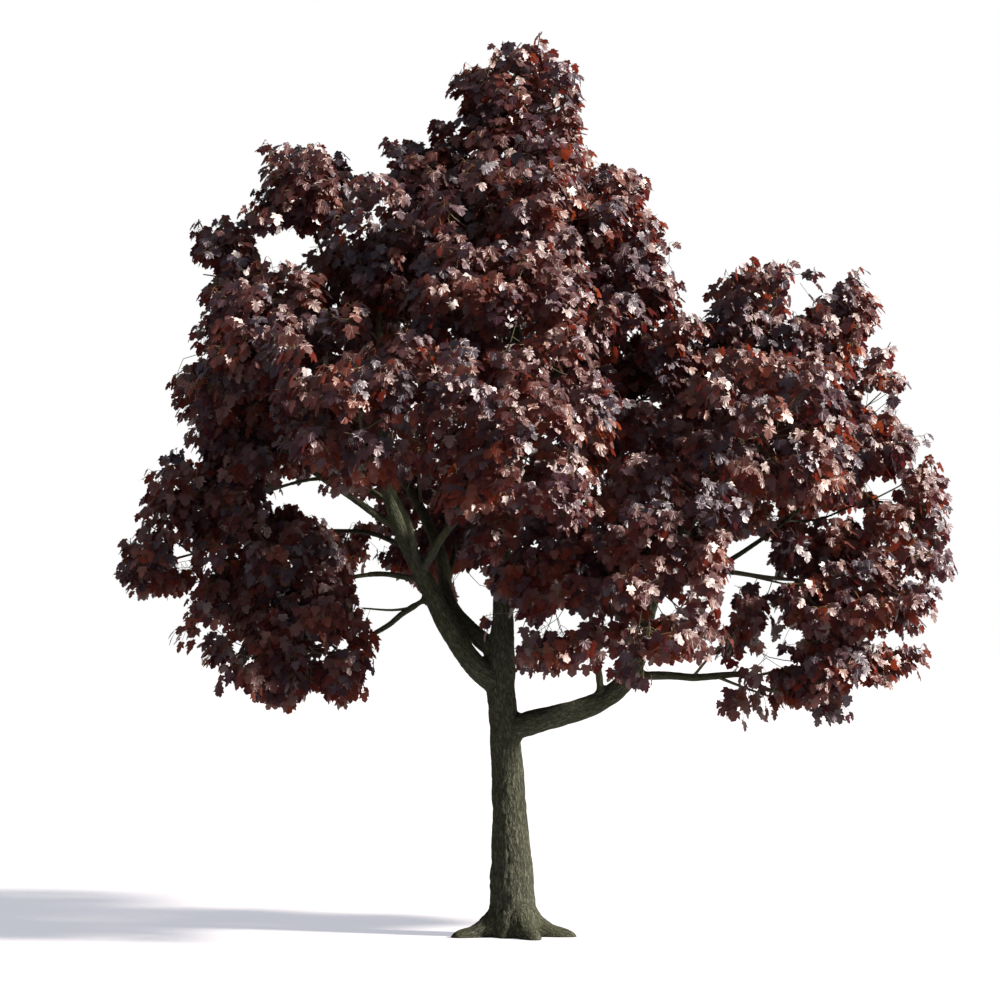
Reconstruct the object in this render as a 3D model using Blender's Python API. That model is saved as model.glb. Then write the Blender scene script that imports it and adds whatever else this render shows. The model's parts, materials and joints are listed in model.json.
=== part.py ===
"""A purple-leaved maple: a short trunk with a root flare, curved boughs and a broad crown of leafy masses.

Metres, +Z up. The origin is the middle of the flat cut at ground level. +X is the side of the long low
bough, and -Y the side from which the fork stands open. Every limb and mass is worked out from the named
sizes below: a limb is a smooth path with a taper, and a mass is a rounded space, parted from its
neighbours by planes, in which twigs branch from one stem and end in leaves.
"""

import math
import random
from collections import namedtuple

import bmesh
import bpy
from mathutils import Matrix, Vector

# ---------------------------------------------------------------- driving sizes

SEAM = 0.00035  # gap between two solids that meet, where the living tree is one piece of wood
CLEAR_OF_WOOD = 0.015  # least distance from a leaf or twig to the wood of another node
CLEAR_OF_NEIGHBOUR = 0.004  # least distance from a leaf or twig to the plane that parts two masses

# The trunk and the leader that it runs up into: x, y, height and radius at each station.
TRUNK = [
    (0.00, 0.00, -0.06, 0.262), (0.00, 0.00, 0.18, 0.240), (-0.01, 0.00, 0.45, 0.224),
    (-0.02, 0.00, 0.80, 0.202), (-0.035, 0.00, 1.25, 0.176), (-0.06, 0.00, 1.75, 0.162),
    (-0.09, 0.00, 2.15, 0.150), (-0.12, 0.00, 2.50, 0.142), (-0.11, 0.00, 2.90, 0.128),
    (-0.10, 0.02, 3.35, 0.098), (-0.10, 0.05, 4.10, 0.080), (-0.04, 0.06, 5.00, 0.064),
    (0.02, 0.04, 6.00, 0.048), (0.02, 0.00, 7.00, 0.032), (0.02, 0.00, 7.60, 0.022),
]

# The roots that spread from its foot: the bearing from +X in degrees, the reach from the trunk's axis
# and the thickness where the root leaves the trunk.
ROOTS = [(-165, 0.66, 0.116), (-115, 0.30, 0.080), (-60, 0.50, 0.124), (-7, 0.66, 0.110),
         (58, 0.54, 0.104), (128, 0.58, 0.106)]
ROOT_TOP = 0.42  # height at which a root leaves the trunk

# The boughs: the limb that each springs from, the points that it passes from the fork to its end, and
# its radius at the foot and at the end. The first point is moved onto the axis of the parent limb.
Bough = namedtuple("Bough", "parent points foot end")
BOUGHS = {
    "bough_left": Bough("trunk", [
        (-0.12, 0.00, 2.46), (-0.38, -0.04, 2.69), (-0.65, -0.12, 3.08), (-0.86, -0.18, 3.51),
        (-1.11, -0.26, 4.02), (-1.25, -0.32, 4.53), (-1.30, -0.34, 5.30), (-1.33, -0.31, 6.20)],
        0.128, 0.036),
    "bough_left_top": Bough("bough_left", [
        (-1.28, -0.33, 4.95), (-1.52, -0.10, 5.60), (-1.78, 0.00, 6.40), (-1.98, 0.00, 7.02)], 0.036, 0.018),
    "bough_left_tip_upper": Bough("bough_left", [
        (-1.26, -0.33, 4.62), (-1.60, 0.12, 5.10), (-2.20, 0.22, 5.80), (-2.68, 0.08, 6.32)], 0.032, 0.014),
    "bough_left_upper": Bough("bough_left", [
        (-1.25, -0.32, 4.50), (-1.55, -0.50, 5.00), (-2.02, -0.65, 5.55)], 0.036, 0.022),
    "bough_left_mid": Bough("bough_left", [
        (-1.10, -0.26, 4.00), (-1.62, -0.30, 4.37), (-1.90, -0.15, 4.55), (-2.22, -0.02, 4.78)],
        0.044, 0.024),
    "bough_left_front": Bough("bough_left", [
        (-0.95, -0.21, 3.68), (-1.05, -0.75, 4.15), (-1.34, -1.35, 4.68)], 0.042, 0.022),
    "bough_left_low_tip": Bough("bough_left", [
        (-1.20, -0.30, 4.28), (-1.55, 0.05, 4.50), (-1.98, 0.14, 4.56), (-2.50, 0.18, 4.44)], 0.034, 0.016),
    "bough_left_far_tip": Bough("bough_left", [
        (-1.04, -0.24, 3.86), (-1.60, 0.70, 4.05), (-2.60, 0.92, 4.00), (-3.34, 0.30, 3.78)], 0.032, 0.012),
    "bough_left_lower": Bough("bough_left", [
        (-0.88, -0.18, 3.52), (-1.30, -0.12, 3.60), (-1.68, -0.05, 3.56)], 0.036, 0.024),
    "bough_left_bottom": Bough("bough_left", [
        (-0.82, -0.16, 3.38), (-1.08, -0.16, 3.22), (-1.24, -0.18, 3.09), (-1.52, -0.20, 2.93)],
        0.038, 0.024),
    "bough_behind": Bough("trunk", [
        (-0.11, 0.00, 2.76), (-0.62, 0.22, 3.27), (-0.74, 0.52, 3.82), (-1.10, 1.00, 4.55),
        (-1.58, 1.28, 5.06)], 0.100, 0.030),
    "bough_low_back": Bough("bough_behind", [
        (-0.70, 0.34, 3.55), (-0.62, 0.85, 3.74), (-0.61, 1.22, 3.93)], 0.042, 0.026),
    "bough_front": Bough("bough_left", [
        (-0.92, -0.20, 3.60), (-0.68, -0.60, 3.98), (-0.38, -1.00, 4.30), (-0.18, -1.42, 4.60)],
        0.050, 0.026),
    "bough_right_shoulder": Bough("trunk", [
        (-0.03, 0.06, 5.15), (0.45, 0.02, 5.62), (0.82, -0.04, 6.06)], 0.044, 0.024),
    "bough_right_centre": Bough("trunk", [
        (-0.08, 0.05, 4.30), (0.45, 0.12, 4.80), (0.98, 0.20, 5.16)], 0.050, 0.028),
    "bough_right": Bough("trunk", [
        (-0.08, 0.00, 2.04), (0.30, 0.00, 2.15), (0.71, 0.00, 2.26), (1.03, 0.00, 2.44), (1.22, 0.00, 2.70),
        (1.32, 0.06, 3.10), (1.50, 0.10, 3.70), (1.85, -0.20, 4.25), (2.08, -0.55, 4.55)], 0.132, 0.052),
    "bough_low_centre": Bough("bough_right", [
        (0.85, 0.00, 2.36), (0.86, -0.06, 2.56), (0.80, -0.25, 2.90)], 0.044, 0.030),
    "bough_right_low": Bough("bough_right", [
        (1.14, 0.00, 2.60), (1.53, -0.05, 2.59), (1.84, -0.04, 2.57), (2.25, 0.00, 2.60), (2.41, 0.00, 2.56),
        (2.66, 0.00, 2.70)], 0.050, 0.028),
    "bough_low_right": Bough("bough_right", [
        (1.26, 0.04, 2.90), (1.33, -0.22, 3.16), (1.34, -0.46, 3.36)], 0.040, 0.026),
    "bough_right_lower": Bough("bough_right", [
        (1.38, 0.08, 3.36), (1.87, 0.06, 3.59), (2.09, 0.04, 3.63), (2.41, 0.00, 3.58), (2.98, -0.04, 3.46)],
        0.044, 0.022),
    "bough_right_mid": Bough("bough_right_lower", [
        (2.00, 0.04, 3.61), (2.45, 0.08, 3.92), (2.75, 0.08, 4.15), (3.00, 0.06, 4.36)], 0.030, 0.020),
    "bough_right_tip": Bough("bough_right_mid", [
        (2.72, 0.08, 4.12), (3.10, 0.24, 4.16), (3.40, 0.22, 4.28), (3.68, 0.06, 4.32)], 0.018, 0.012),
    "bough_right_top": Bough("bough_right", [
        (1.80, -0.16, 4.18), (2.00, 0.05, 4.70), (2.32, 0.02, 5.58)], 0.036, 0.020),
    "bough_right_top_outer": Bough("bough_right_top", [
        (2.10, 0.06, 4.95), (2.62, 0.12, 5.08), (3.04, 0.02, 5.60)], 0.024, 0.016),
    "bough_right_back": Bough("bough_right", [
        (1.45, 0.10, 3.56), (1.66, 0.52, 3.80), (2.05, 0.98, 4.18)], 0.042, 0.026),
}

# The masses of leaves: the limb that carries each, the middle of its space, and its half-width,
# half-depth and half-height. Where the stem springs from the side of the trunk, the height of that too.
Mass = namedtuple("Mass", "carrier middle radii springs", defaults=[None])
MASSES = {
    "leaves_top": Mass("trunk", (0.05, 0.00, 8.20), (0.72, 0.66, 0.86)),
    "leaves_upper_left": Mass("trunk", (-0.80, -0.10, 7.50), (0.58, 0.82, 0.63), 6.85),
    "leaves_upper_front": Mass("trunk", (0.07, -0.80, 7.15), (0.84, 0.76, 0.71), 6.60),
    "leaves_upper_right": Mass("trunk", (0.82, 0.00, 7.22), (0.58, 0.86, 0.60), 6.70),
    "leaves_upper_back": Mass("trunk", (0.08, 0.90, 7.40), (0.96, 0.88, 0.74), 6.72),
    "leaves_centre_front": Mass("trunk", (-0.16, -1.25, 6.14), (1.00, 1.10, 0.80), 5.40),
    "leaves_centre_back": Mass("trunk", (-0.08, 1.35, 6.24), (1.31, 1.26, 0.97), 5.30),
    "leaves_right_shoulder": Mass("bough_right_shoulder", (1.13, -0.10, 6.42), (0.63, 0.95, 0.73)),
    "leaves_left_top": Mass("bough_left_top", (-2.02, 0.00, 7.42), (0.71, 0.67, 0.57)),
    "leaves_left_inner": Mass("bough_left", (-1.32, -0.30, 6.66), (0.82, 0.95, 0.88)),
    "leaves_left_tip_upper": Mass("bough_left_tip_upper", (-2.92, 0.00, 6.80), (0.44, 0.44, 0.42)),
    "leaves_left_upper": Mass("bough_left_upper", (-2.42, -0.80, 5.94), (0.84, 1.00, 0.65)),
    "leaves_left_back": Mass("bough_behind", (-2.15, 1.55, 5.66), (1.12, 1.28, 0.95)),
    "leaves_left_mid": Mass("bough_left_mid", (-2.72, 0.10, 5.18), (0.90, 1.06, 0.67)),
    "leaves_left_front": Mass("bough_left_front", (-1.46, -1.90, 5.16), (0.88, 0.97, 0.76)),
    "leaves_left_low_tip": Mass("bough_left_low_tip", (-3.00, 0.20, 4.40), (0.78, 0.67, 0.53)),
    "leaves_left_far_tip": Mass("bough_left_far_tip", (-3.54, 0.00, 3.70), (0.46, 0.42, 0.44)),
    "leaves_left_lower": Mass("bough_left_lower", (-2.43, 0.05, 3.62), (1.08, 1.08, 0.70)),
    "leaves_left_bottom": Mass("bough_left_bottom", (-2.26, -0.30, 2.86), (0.99, 0.96, 0.60)),
    "leaves_low_back": Mass("bough_low_back", (-0.61, 2.00, 4.10), (1.46, 1.03, 0.77)),
    "leaves_mid_front": Mass("bough_front", (-0.04, -2.10, 4.86), (1.18, 1.00, 0.76)),
    "leaves_low_centre": Mass("bough_low_centre", (0.44, -0.95, 3.66), (0.84, 0.86, 1.11)),
    "leaves_low_right": Mass("bough_low_right", (1.38, -1.25, 3.80), (0.80, 1.00, 1.20)),
    "leaves_right_centre": Mass("bough_right_centre", (1.46, 0.25, 5.46), (1.00, 1.22, 0.97)),
    "leaves_right_top": Mass("bough_right_top", (2.46, 0.00, 6.10), (0.57, 0.69, 0.69)),
    "leaves_right_top_outer": Mass("bough_right_top_outer", (3.22, 0.00, 6.08), (0.53, 0.59, 0.64)),
    "leaves_right_body": Mass("bough_right", (2.46, -1.20, 4.96), (0.92, 1.07, 0.80)),
    "leaves_right_back": Mass("bough_right_back", (2.50, 1.50, 4.84), (1.15, 1.28, 0.92)),
    "leaves_right_mid": Mass("bough_right_mid", (3.36, 0.10, 4.98), (0.76, 0.98, 0.88)),
    "leaves_right_tip": Mass("bough_right_tip", (3.97, 0.00, 4.22), (0.48, 0.50, 0.59)),
    "leaves_right_lower": Mass("bough_right_lower", (3.22, -0.10, 3.52), (1.10, 0.92, 0.76)),
    "leaves_right_bottom": Mass("bough_right_low", (3.16, 0.00, 2.74), (0.98, 0.84, 0.52)),
}

# One leaf of these solids stands for a spray, so it is larger than life. Its size follows its mass, and
# the other numbers are shares of its length. The outline goes from the stalk round one side: the tip of
# the side lobe, and the notch under the middle lobe.
LEAF_SHARE = 0.72  # length of a leaf, as a share of the middling radius of its mass
LEAF_SIDE = [(0.54, 0.36), (0.20, 0.54)]
LEAF_THICKNESS = 0.05
LEAF_MIDDLE = 0.42  # where along it a leaf is thickest
JOINT = 0.20  # where along it the twig ends
JOINT_DEPTH = 0.012  # how deep in it the twig ends
LIFT = 0.50  # how steeply a leaf stands off the side of its mass
ROLL = 0.35  # how far it turns its face to one side
FLAT_TOP = 0.92  # upright part of a direction beyond which the side of a mass has no way down
TWIG_START = 0.45  # share of the way from the middle of a mass to its leaf where a twig starts
PLACES_TRIED = [0.98 - 0.03 * k for k in range(14)]  # from the edge of the space inwards
LEAVES_PER_SQUARE_METRE = 1.1  # of the surface of a mass's space
FEWEST_LEAVES = 9

SQUARENESS = 2.6  # power of a mass's rounded form: 2 is an egg shape, and more is squarer
CORE_SHARE = 0.78  # size of the dense inner core of a mass, as a share of its space
BOUGH_END_SHARE = 0.86  # where a bough ends, as a share of the way from the middle of its mass to the edge
TAPER_POWER = 0.85  # under 1, a bough loses more of its thickness near its foot
COLLAR = 1.25  # how much thicker a bough is where it leaves its parent
TRUNK_STEP = 0.30  # distance between the rings of a limb
BOUGH_STEP = 0.25
SHORTEST_LAST_RING = 0.2  # share of a step below which a bough ends at the ring before
ROOT_STEP = 0.15
WOOD_SAMPLE_STEP = 0.04
TWIG_RADIUS = 0.020
TWIG_END_RADIUS = 0.008
STEM_END_RADIUS = 0.016
BITE = 0.01  # how far inside the end of its bough a stem starts, before it is cut to the seam
STEM_SAG = 0.12  # how far the stem of a mass on the trunk sags, as a share of its span
GOLDEN_ANGLE = math.pi * (3 - math.sqrt(5))
UP = Vector((0, 0, 1))

BARK = ("bark", (0.145, 0.118, 0.092), 0.85)  # name, linear colour and roughness
LEAF = ("leaf", (0.060, 0.014, 0.019), 0.45)


# ---------------------------------------------------------------- paths of the limbs

def smooth_path(stations, step):
    """Evenly spaced points on one smooth curve through x, y, z, radius stations (Catmull-Rom)."""
    ends = [2 * stations[0] - stations[1], *stations, 2 * stations[-1] - stations[-2]]
    fine = []
    for a, b, c, d in zip(ends, ends[1:], ends[2:], ends[3:]):
        for k in range(16):
            t = k / 16
            fine.append(0.5 * (2 * b + (c - a) * t + (2 * a - 5 * b + 4 * c - d) * t ** 2
                               + (3 * b - a - 3 * c + d) * t ** 3))
    fine.append(stations[-1])
    travelled = [0.0]
    for here, there in zip(fine, fine[1:]):
        travelled.append(travelled[-1] + (there.xyz - here.xyz).length)
    count = max(3, round(travelled[-1] / step) + 1)
    path, k = [], 0
    for index in range(count):
        wanted = travelled[-1] * index / (count - 1)
        while k < len(fine) - 2 and travelled[k + 1] < wanted:
            k += 1
        share = (wanted - travelled[k]) / (travelled[k + 1] - travelled[k])
        path.append(fine[k].lerp(fine[k + 1], min(share, 1.0)))
    return path


def nearest_station(path, point):
    """The place on a limb's axis, with the radius there, that is nearest to a point."""
    best = None
    for here, there in zip(path, path[1:]):
        along = there.xyz - here.xyz
        share = max(0.0, min(1.0, (point - here.xyz).dot(along) / along.length_squared))
        station = here.lerp(there, share)
        distance = (station.xyz - point).length
        if best is None or distance < best[0]:
            best = (distance, station)
    return best[1]


def bough_path(bough, parent_path):
    """A bough from the axis of its parent to its end, tapering, with a collar where it leaves the parent."""
    points = [Vector(point) for point in bough.points]
    spring = nearest_station(parent_path, points[0])
    points[0] = spring.xyz
    travelled = [0.0]
    for here, there in zip(points, points[1:]):
        travelled.append(travelled[-1] + (there - here).length)
    stations = []
    for point, distance in zip(points, travelled):
        radius = bough.foot + (bough.end - bough.foot) * (distance / travelled[-1]) ** TAPER_POWER
        stations.append(Vector((*point, radius)))
    path = smooth_path(stations, BOUGH_STEP)
    path[0].w = min(COLLAR * bough.foot, 0.8 * spring.w)
    return path


def end_at_mass(path, space):
    """A bough's path as far as it stays outside the core of its mass, where the stem takes over."""
    def depth(station):
        offset = station.xyz - space.middle
        return offset.length / reach(space, offset.normalized())

    outside = [station for station in path if depth(station) >= BOUGH_END_SHARE]
    if len(outside) < len(path):
        last, beyond = outside[-1], path[len(outside)]
        share = (depth(last) - BOUGH_END_SHARE) / (depth(last) - depth(beyond))
        if share > SHORTEST_LAST_RING:
            outside.append(last.lerp(beyond, share))
    return outside


def limb_paths():
    """The axis and radii of the trunk and of every bough, by name."""
    paths = {"trunk": smooth_path([Vector(station) for station in TRUNK], TRUNK_STEP)}
    for name, bough in BOUGHS.items():
        paths[name] = bough_path(bough, paths[bough.parent])
    for name, mass in MASSES.items():
        if mass.carrier in BOUGHS:
            paths[mass.carrier] = end_at_mass(paths[mass.carrier], space_of(name))
    return paths


def stem_path(mass, carrier_path):
    """The stem of a mass, from the end of its bough or the side of the trunk to the middle of its space."""
    middle = Vector(mass.middle)
    if mass.springs is None:
        tip, before = carrier_path[-1], carrier_path[-2]
        onward = (tip.xyz - before.xyz).normalized()
        start = tip.xyz - BITE * onward
        bend = tip.xyz + 0.4 * (middle - tip.xyz).length * onward
        radius = 0.9 * tip.w
    else:
        spring = nearest_station(carrier_path, Vector((0, 0, mass.springs)))
        start = spring.xyz
        bend = start.lerp(middle, 0.5) - STEM_SAG * (middle - start).length * UP
        radius = 0.6 * spring.w
    middle_radius = (radius + STEM_END_RADIUS) / 2
    stations = [Vector((*start, radius)), Vector((*bend, middle_radius)), Vector((*middle, STEM_END_RADIUS))]
    return smooth_path(stations, BOUGH_STEP)


# ---------------------------------------------------------------- spaces of the masses

Space = namedtuple("Space", "middle radii planes")


def fill(offset, radii):
    """How far out a point is in the rounded form of these radii: 1 on its surface."""
    return sum(abs(d / r) ** SQUARENESS for d, r in zip(offset, radii)) ** (1 / SQUARENESS)


def space_of(name):
    """A mass's rounded form, with the planes that part it from every other mass."""
    mass = MASSES[name]
    planes = []
    for other_name, other in MASSES.items():
        if other_name == name:
            continue
        across = Vector(other.middle) - Vector(mass.middle)
        direction = across.normalized()
        mine, theirs = 1 / fill(direction, mass.radii), 1 / fill(direction, other.radii)
        planes.append((direction, across.length * mine / (mine + theirs) - CLEAR_OF_NEIGHBOUR))
    return Space(Vector(mass.middle), mass.radii, planes)


def reach(space, direction):
    """Distance from the middle of a space to its edge, in a unit direction."""
    distance = 1 / fill(direction, space.radii)
    for normal, limit in space.planes:
        slope = direction.dot(normal)
        if slope > 0:
            distance = min(distance, limit / slope)
    return distance


def is_inside(space, point):
    """Whether a point is within a space."""
    offset = point - space.middle
    if fill(offset, space.radii) > 1:
        return False
    return all(offset.dot(normal) <= limit for normal, limit in space.planes)


def spread_directions(count):
    """Unit directions spread evenly over a sphere, turning by the golden angle."""
    for k in range(count):
        height = 1 - (2 * k + 1) / count
        ring = math.sqrt(1 - height ** 2)
        yield Vector((ring * math.cos(k * GOLDEN_ANGLE), ring * math.sin(k * GOLDEN_ANGLE), height))


# ---------------------------------------------------------------- solids

def evaluated_mesh(obj):
    """A new mesh of an object with its modifiers or its bevel applied."""
    depsgraph = bpy.context.evaluated_depsgraph_get()
    return bpy.data.meshes.new_from_object(obj.evaluated_get(depsgraph))


def edit(mesh, work):
    """Run a function on a mesh's bmesh and write the result back."""
    bm = bmesh.new()
    bm.from_mesh(mesh)
    work(bm)
    bm.to_mesh(mesh)
    bm.free()


def tube(name, path, bevel_resolution, collection):
    """A tapering round limb along a path of x, y, z, radius stations, closed at both ends."""
    curve = bpy.data.curves.new(name, "CURVE")
    curve.dimensions = "3D"
    curve.bevel_depth = 1.0
    curve.bevel_resolution = bevel_resolution
    curve.use_fill_caps = True
    spline = curve.splines.new("POLY")
    spline.points.add(len(path) - 1)
    for point, station in zip(spline.points, path):
        point.co = (*station.xyz, 1)
        point.radius = station.w
    guide = bpy.data.objects.new(f"{name} axis", curve)
    collection.objects.link(guide)
    mesh = evaluated_mesh(guide)
    limb = bpy.data.objects.new(name, mesh)
    limb.matrix_world = guide.matrix_world
    bpy.data.objects.remove(guide)
    bpy.data.curves.remove(curve)

    def close(bm):
        bmesh.ops.remove_doubles(bm, verts=bm.verts, dist=0.00001)
        bmesh.ops.recalc_face_normals(bm, faces=bm.faces)

    edit(mesh, close)
    collection.objects.link(limb)
    return limb


def sleeve(name, path, bevel_resolution, collection):
    """A limb's solid grown by the seam all round and at its end, to cut what meets it."""
    grown = [Vector((*station.xyz, station.w + SEAM)) for station in path]
    onward = (path[-1].xyz - path[-2].xyz).normalized()
    grown[-1].xyz += SEAM * onward
    cutter = tube(f"{name} sleeve", grown, bevel_resolution, collection)
    cutter.hide_render = True
    cutter.display_type = "WIRE"
    return cutter


def cut(obj, cutter):
    """Take a cutter away from an object, by a Boolean modifier."""
    modifier = obj.modifiers.new(f"clear of {cutter.name}", "BOOLEAN")
    modifier.operation = "DIFFERENCE"
    modifier.solver = "EXACT"
    modifier.object = cutter


def apply_modifiers(obj):
    """Replace an object's mesh by its evaluated one, without modifiers."""
    old = obj.data
    mesh = evaluated_mesh(obj)
    obj.modifiers.clear()
    obj.data = mesh
    bpy.data.meshes.remove(old)


def fuse(obj, pieces):
    """Join the objects of a collection to an object by one Boolean union, and remove them."""
    modifier = obj.modifiers.new("fused", "BOOLEAN")
    modifier.operation = "UNION"
    modifier.solver = "EXACT"
    modifier.operand_type = "COLLECTION"
    modifier.collection = pieces
    apply_modifiers(obj)
    for piece in list(pieces.objects):
        mesh = piece.data
        bpy.data.objects.remove(piece)
        bpy.data.meshes.remove(mesh)
    bpy.data.collections.remove(pieces)


def keep_largest_shell(obj):
    """Drop loose scraps and fill sealed hollows: only the shell that holds the most stays."""
    def work(bm):
        shells, seen = [], set()
        for seed in bm.faces:
            if seed in seen:
                continue
            shell, waiting = [], [seed]
            seen.add(seed)
            while waiting:
                face = waiting.pop()
                shell.append(face)
                for near in (other for edge in face.edges for other in edge.link_faces):
                    if near not in seen:
                        seen.add(near)
                        waiting.append(near)
            shells.append(shell)
        shells.sort(key=shell_volume)
        spare = [face for shell in shells[:-1] for face in shell]
        bmesh.ops.delete(bm, geom=spare, context="FACES")

    edit(obj.data, work)


def shell_volume(shell):
    """Volume inside a shell of faces."""
    volume = 0.0
    for face in shell:
        first, *rest = [vertex.co for vertex in face.verts]
        for here, there in zip(rest, rest[1:]):
            volume += first.dot(here.cross(there)) / 6
    return volume


def finish(obj, look):
    """Give an object its own material, and shade its round sides smooth."""
    name, colour, roughness = look
    material = bpy.data.materials.new(f"{obj.name} {name}")
    material.use_nodes = True
    shader = material.node_tree.nodes["Principled BSDF"]
    shader.inputs["Base Color"].default_value = (*colour, 1)
    shader.inputs["Roughness"].default_value = roughness
    shader.inputs["Metallic"].default_value = 0
    obj.data.materials.clear()
    obj.data.materials.append(material)
    if look is BARK:
        obj.data.shade_smooth()
        obj.data.set_sharp_from_angle(angle=math.radians(50))


# ---------------------------------------------------------------- trunk and boughs

TRUNK_BEVEL = 4  # a bevel resolution of n gives 4 + 2n sides
THICK_BEVEL = 3
ROOT_BEVEL = 2
THIN_BEVEL = 1
THICK_FOOT = 0.08  # a bough at least this thick at the foot has more sides


def bevel_of(name):
    """How finely round a limb is."""
    if name == "trunk":
        return TRUNK_BEVEL
    return THICK_BEVEL if BOUGHS[name].foot > THICK_FOOT else THIN_BEVEL


def root_path(bearing, root_reach, thickness):
    """A root from inside the trunk, out over the ground and down past the flat cut."""
    angle = math.radians(bearing)
    outward = Vector((math.cos(angle), math.sin(angle), 0))
    stations = [
        Vector((*(0.06 * outward + ROOT_TOP * UP), 0.8 * thickness)),
        Vector((*(0.20 * outward + 0.16 * UP), thickness)),
        Vector((*(0.58 * root_reach * outward + 0.03 * UP), 0.90 * thickness)),
        Vector((*(0.86 * root_reach * outward), 0.78 * thickness)),
        Vector((*(0.98 * root_reach * outward - 0.03 * UP), 0.42 * thickness)),
    ]
    return smooth_path(stations, ROOT_STEP)


def make_trunk(path, collection):
    """The trunk with its spreading roots, cut flat at ground level."""
    trunk = tube("trunk", path, TRUNK_BEVEL, collection)
    roots = bpy.data.collections.new("roots")
    bpy.context.scene.collection.children.link(roots)
    for index, (bearing, root_reach, thickness) in enumerate(ROOTS):
        tube(f"root {index}", root_path(bearing, root_reach, thickness), ROOT_BEVEL, roots)
    fuse(trunk, roots)

    def cut_flat(bm):
        everything = [*bm.verts, *bm.edges, *bm.faces]
        cut_line = bmesh.ops.bisect_plane(
            bm, geom=everything, plane_co=(0, 0, 0), plane_no=(0, 0, 1), clear_inner=True)
        rim = [item for item in cut_line["geom_cut"] if isinstance(item, bmesh.types.BMEdge)]
        bmesh.ops.edgeloop_fill(bm, edges=rim)
        bmesh.ops.recalc_face_normals(bm, faces=bm.faces)

    edit(trunk.data, cut_flat)
    keep_largest_shell(trunk)
    finish(trunk, BARK)
    return trunk


def make_boughs(paths, parts, cutters):
    """Every bough, cut clear of the limb that it springs from."""
    sleeves = {name: sleeve(name, path, bevel_of(name), cutters) for name, path in paths.items()}
    for name, bough in BOUGHS.items():
        limb = tube(name, paths[name], bevel_of(name), parts)
        cut(limb, sleeves[bough.parent])
        finish(limb, BARK)
    return sleeves


# ---------------------------------------------------------------- masses of leaves

Blade = namedtuple("Blade", "base along side facing length")


def blade_point(blade, across, along):
    """A point of a blade's outline, in space."""
    return blade.base + blade.length * (across * blade.side + along * blade.along)


def blade_outline():
    """The outline of a lobed leaf, round from the stalk, in shares of its length."""
    other_side = [(-across, along) for across, along in reversed(LEAF_SIDE)]
    return [(0, 0), *LEAF_SIDE, (0, 1), *other_side]


def downhill(direction, spin):
    """The steepest way down the side of a mass, or any way at all at its top and bottom."""
    way = -UP
    if abs(direction.z) > FLAT_TOP:
        way = Vector((math.cos(spin), math.sin(spin), 0))
    return (way - way.dot(direction) * direction).normalized()


def blade_at(space, direction, spin, distance, length):
    """A blade with its middle at a distance from the middle of a mass, hanging with its face outwards."""
    along = (downhill(direction, spin) + LIFT * direction).normalized()
    facing = direction + ROLL * Vector((math.cos(spin), math.sin(spin), 0))
    facing = (facing - facing.dot(along) * along).normalized()
    base = space.middle + distance * direction - 0.5 * length * along
    return Blade(base, along, along.cross(facing), facing, length)


def blade_fits(space, blade, wood):
    """Whether a blade keeps to its space and clear of the wood."""
    if not all(is_inside(space, blade_point(blade, *spot)) for spot in blade_outline()):
        return False
    for station in wood:
        offset = station.xyz - blade.base
        gap = station.w + CLEAR_OF_WOOD
        beside = abs(offset.dot(blade.side)) - LEAF_SIDE[0][0] * blade.length
        onward = abs(offset.dot(blade.along) - 0.5 * blade.length) - 0.5 * blade.length
        off_face = abs(offset.dot(blade.facing)) - LEAF_THICKNESS * blade.length
        if max(beside, onward, off_face) < gap:
            return False
    return True


def twig_fits(start, end, wood):
    """Whether a twig keeps clear of the wood."""
    along = end - start
    for station in wood:
        share = max(0.0, min(1.0, (station.xyz - start).dot(along) / along.length_squared))
        if (start + share * along - station.xyz).length < station.w + TWIG_RADIUS + CLEAR_OF_WOOD:
            return False
    return True


def make_blade(blade, collection):
    """A leaf as a low pyramid on its outline: a pointed cone whose rim is pulled to that shape."""
    outline = blade_outline()
    bm = bmesh.new()
    bmesh.ops.create_cone(bm, cap_ends=True, segments=len(outline), radius1=1, radius2=0, depth=2)
    apex = max(bm.verts, key=lambda v: v.co.z)
    rim = sorted((v for v in bm.verts if v is not apex), key=lambda v: math.atan2(v.co.y, v.co.x))
    for vertex, spot in zip(rim, outline):
        vertex.co = blade_point(blade, *spot)
    apex.co = blade_point(blade, 0, LEAF_MIDDLE) + LEAF_THICKNESS * blade.length * blade.facing
    bmesh.ops.recalc_face_normals(bm, faces=bm.faces)
    link_bmesh(bm, "leaf", collection)


def make_twig(start, end, collection):
    """A tapering three-sided twig."""
    along = end - start
    bm = bmesh.new()
    bmesh.ops.create_cone(
        bm, cap_ends=True, segments=3, radius1=TWIG_RADIUS, radius2=TWIG_END_RADIUS, depth=along.length)
    turn = along.to_track_quat("Z", "Y").to_matrix().to_4x4()
    bmesh.ops.transform(bm, matrix=Matrix.Translation((start + end) / 2) @ turn, verts=bm.verts)
    link_bmesh(bm, "twig", collection)


def make_core(name, space, collection):
    """The dense heart of a mass, of the shape of its space."""
    bm = bmesh.new()
    bmesh.ops.create_icosphere(bm, subdivisions=2, radius=1)
    for vertex in bm.verts:
        direction = vertex.co.normalized()
        vertex.co = space.middle + CORE_SHARE * reach(space, direction) * direction
    return link_bmesh(bm, name, collection)


def link_bmesh(bm, name, collection):
    """A new object of a bmesh."""
    mesh = bpy.data.meshes.new(name)
    bm.to_mesh(mesh)
    bm.free()
    obj = bpy.data.objects.new(name, mesh)
    collection.objects.link(obj)
    return obj


def surface_area(radii):
    """Area of an egg shape (Thomsen's formula)."""
    a, b, c = (radius ** 1.6 for radius in radii)
    return 4 * math.pi * ((a * b + a * c + b * c) / 3) ** (1 / 1.6)


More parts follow.
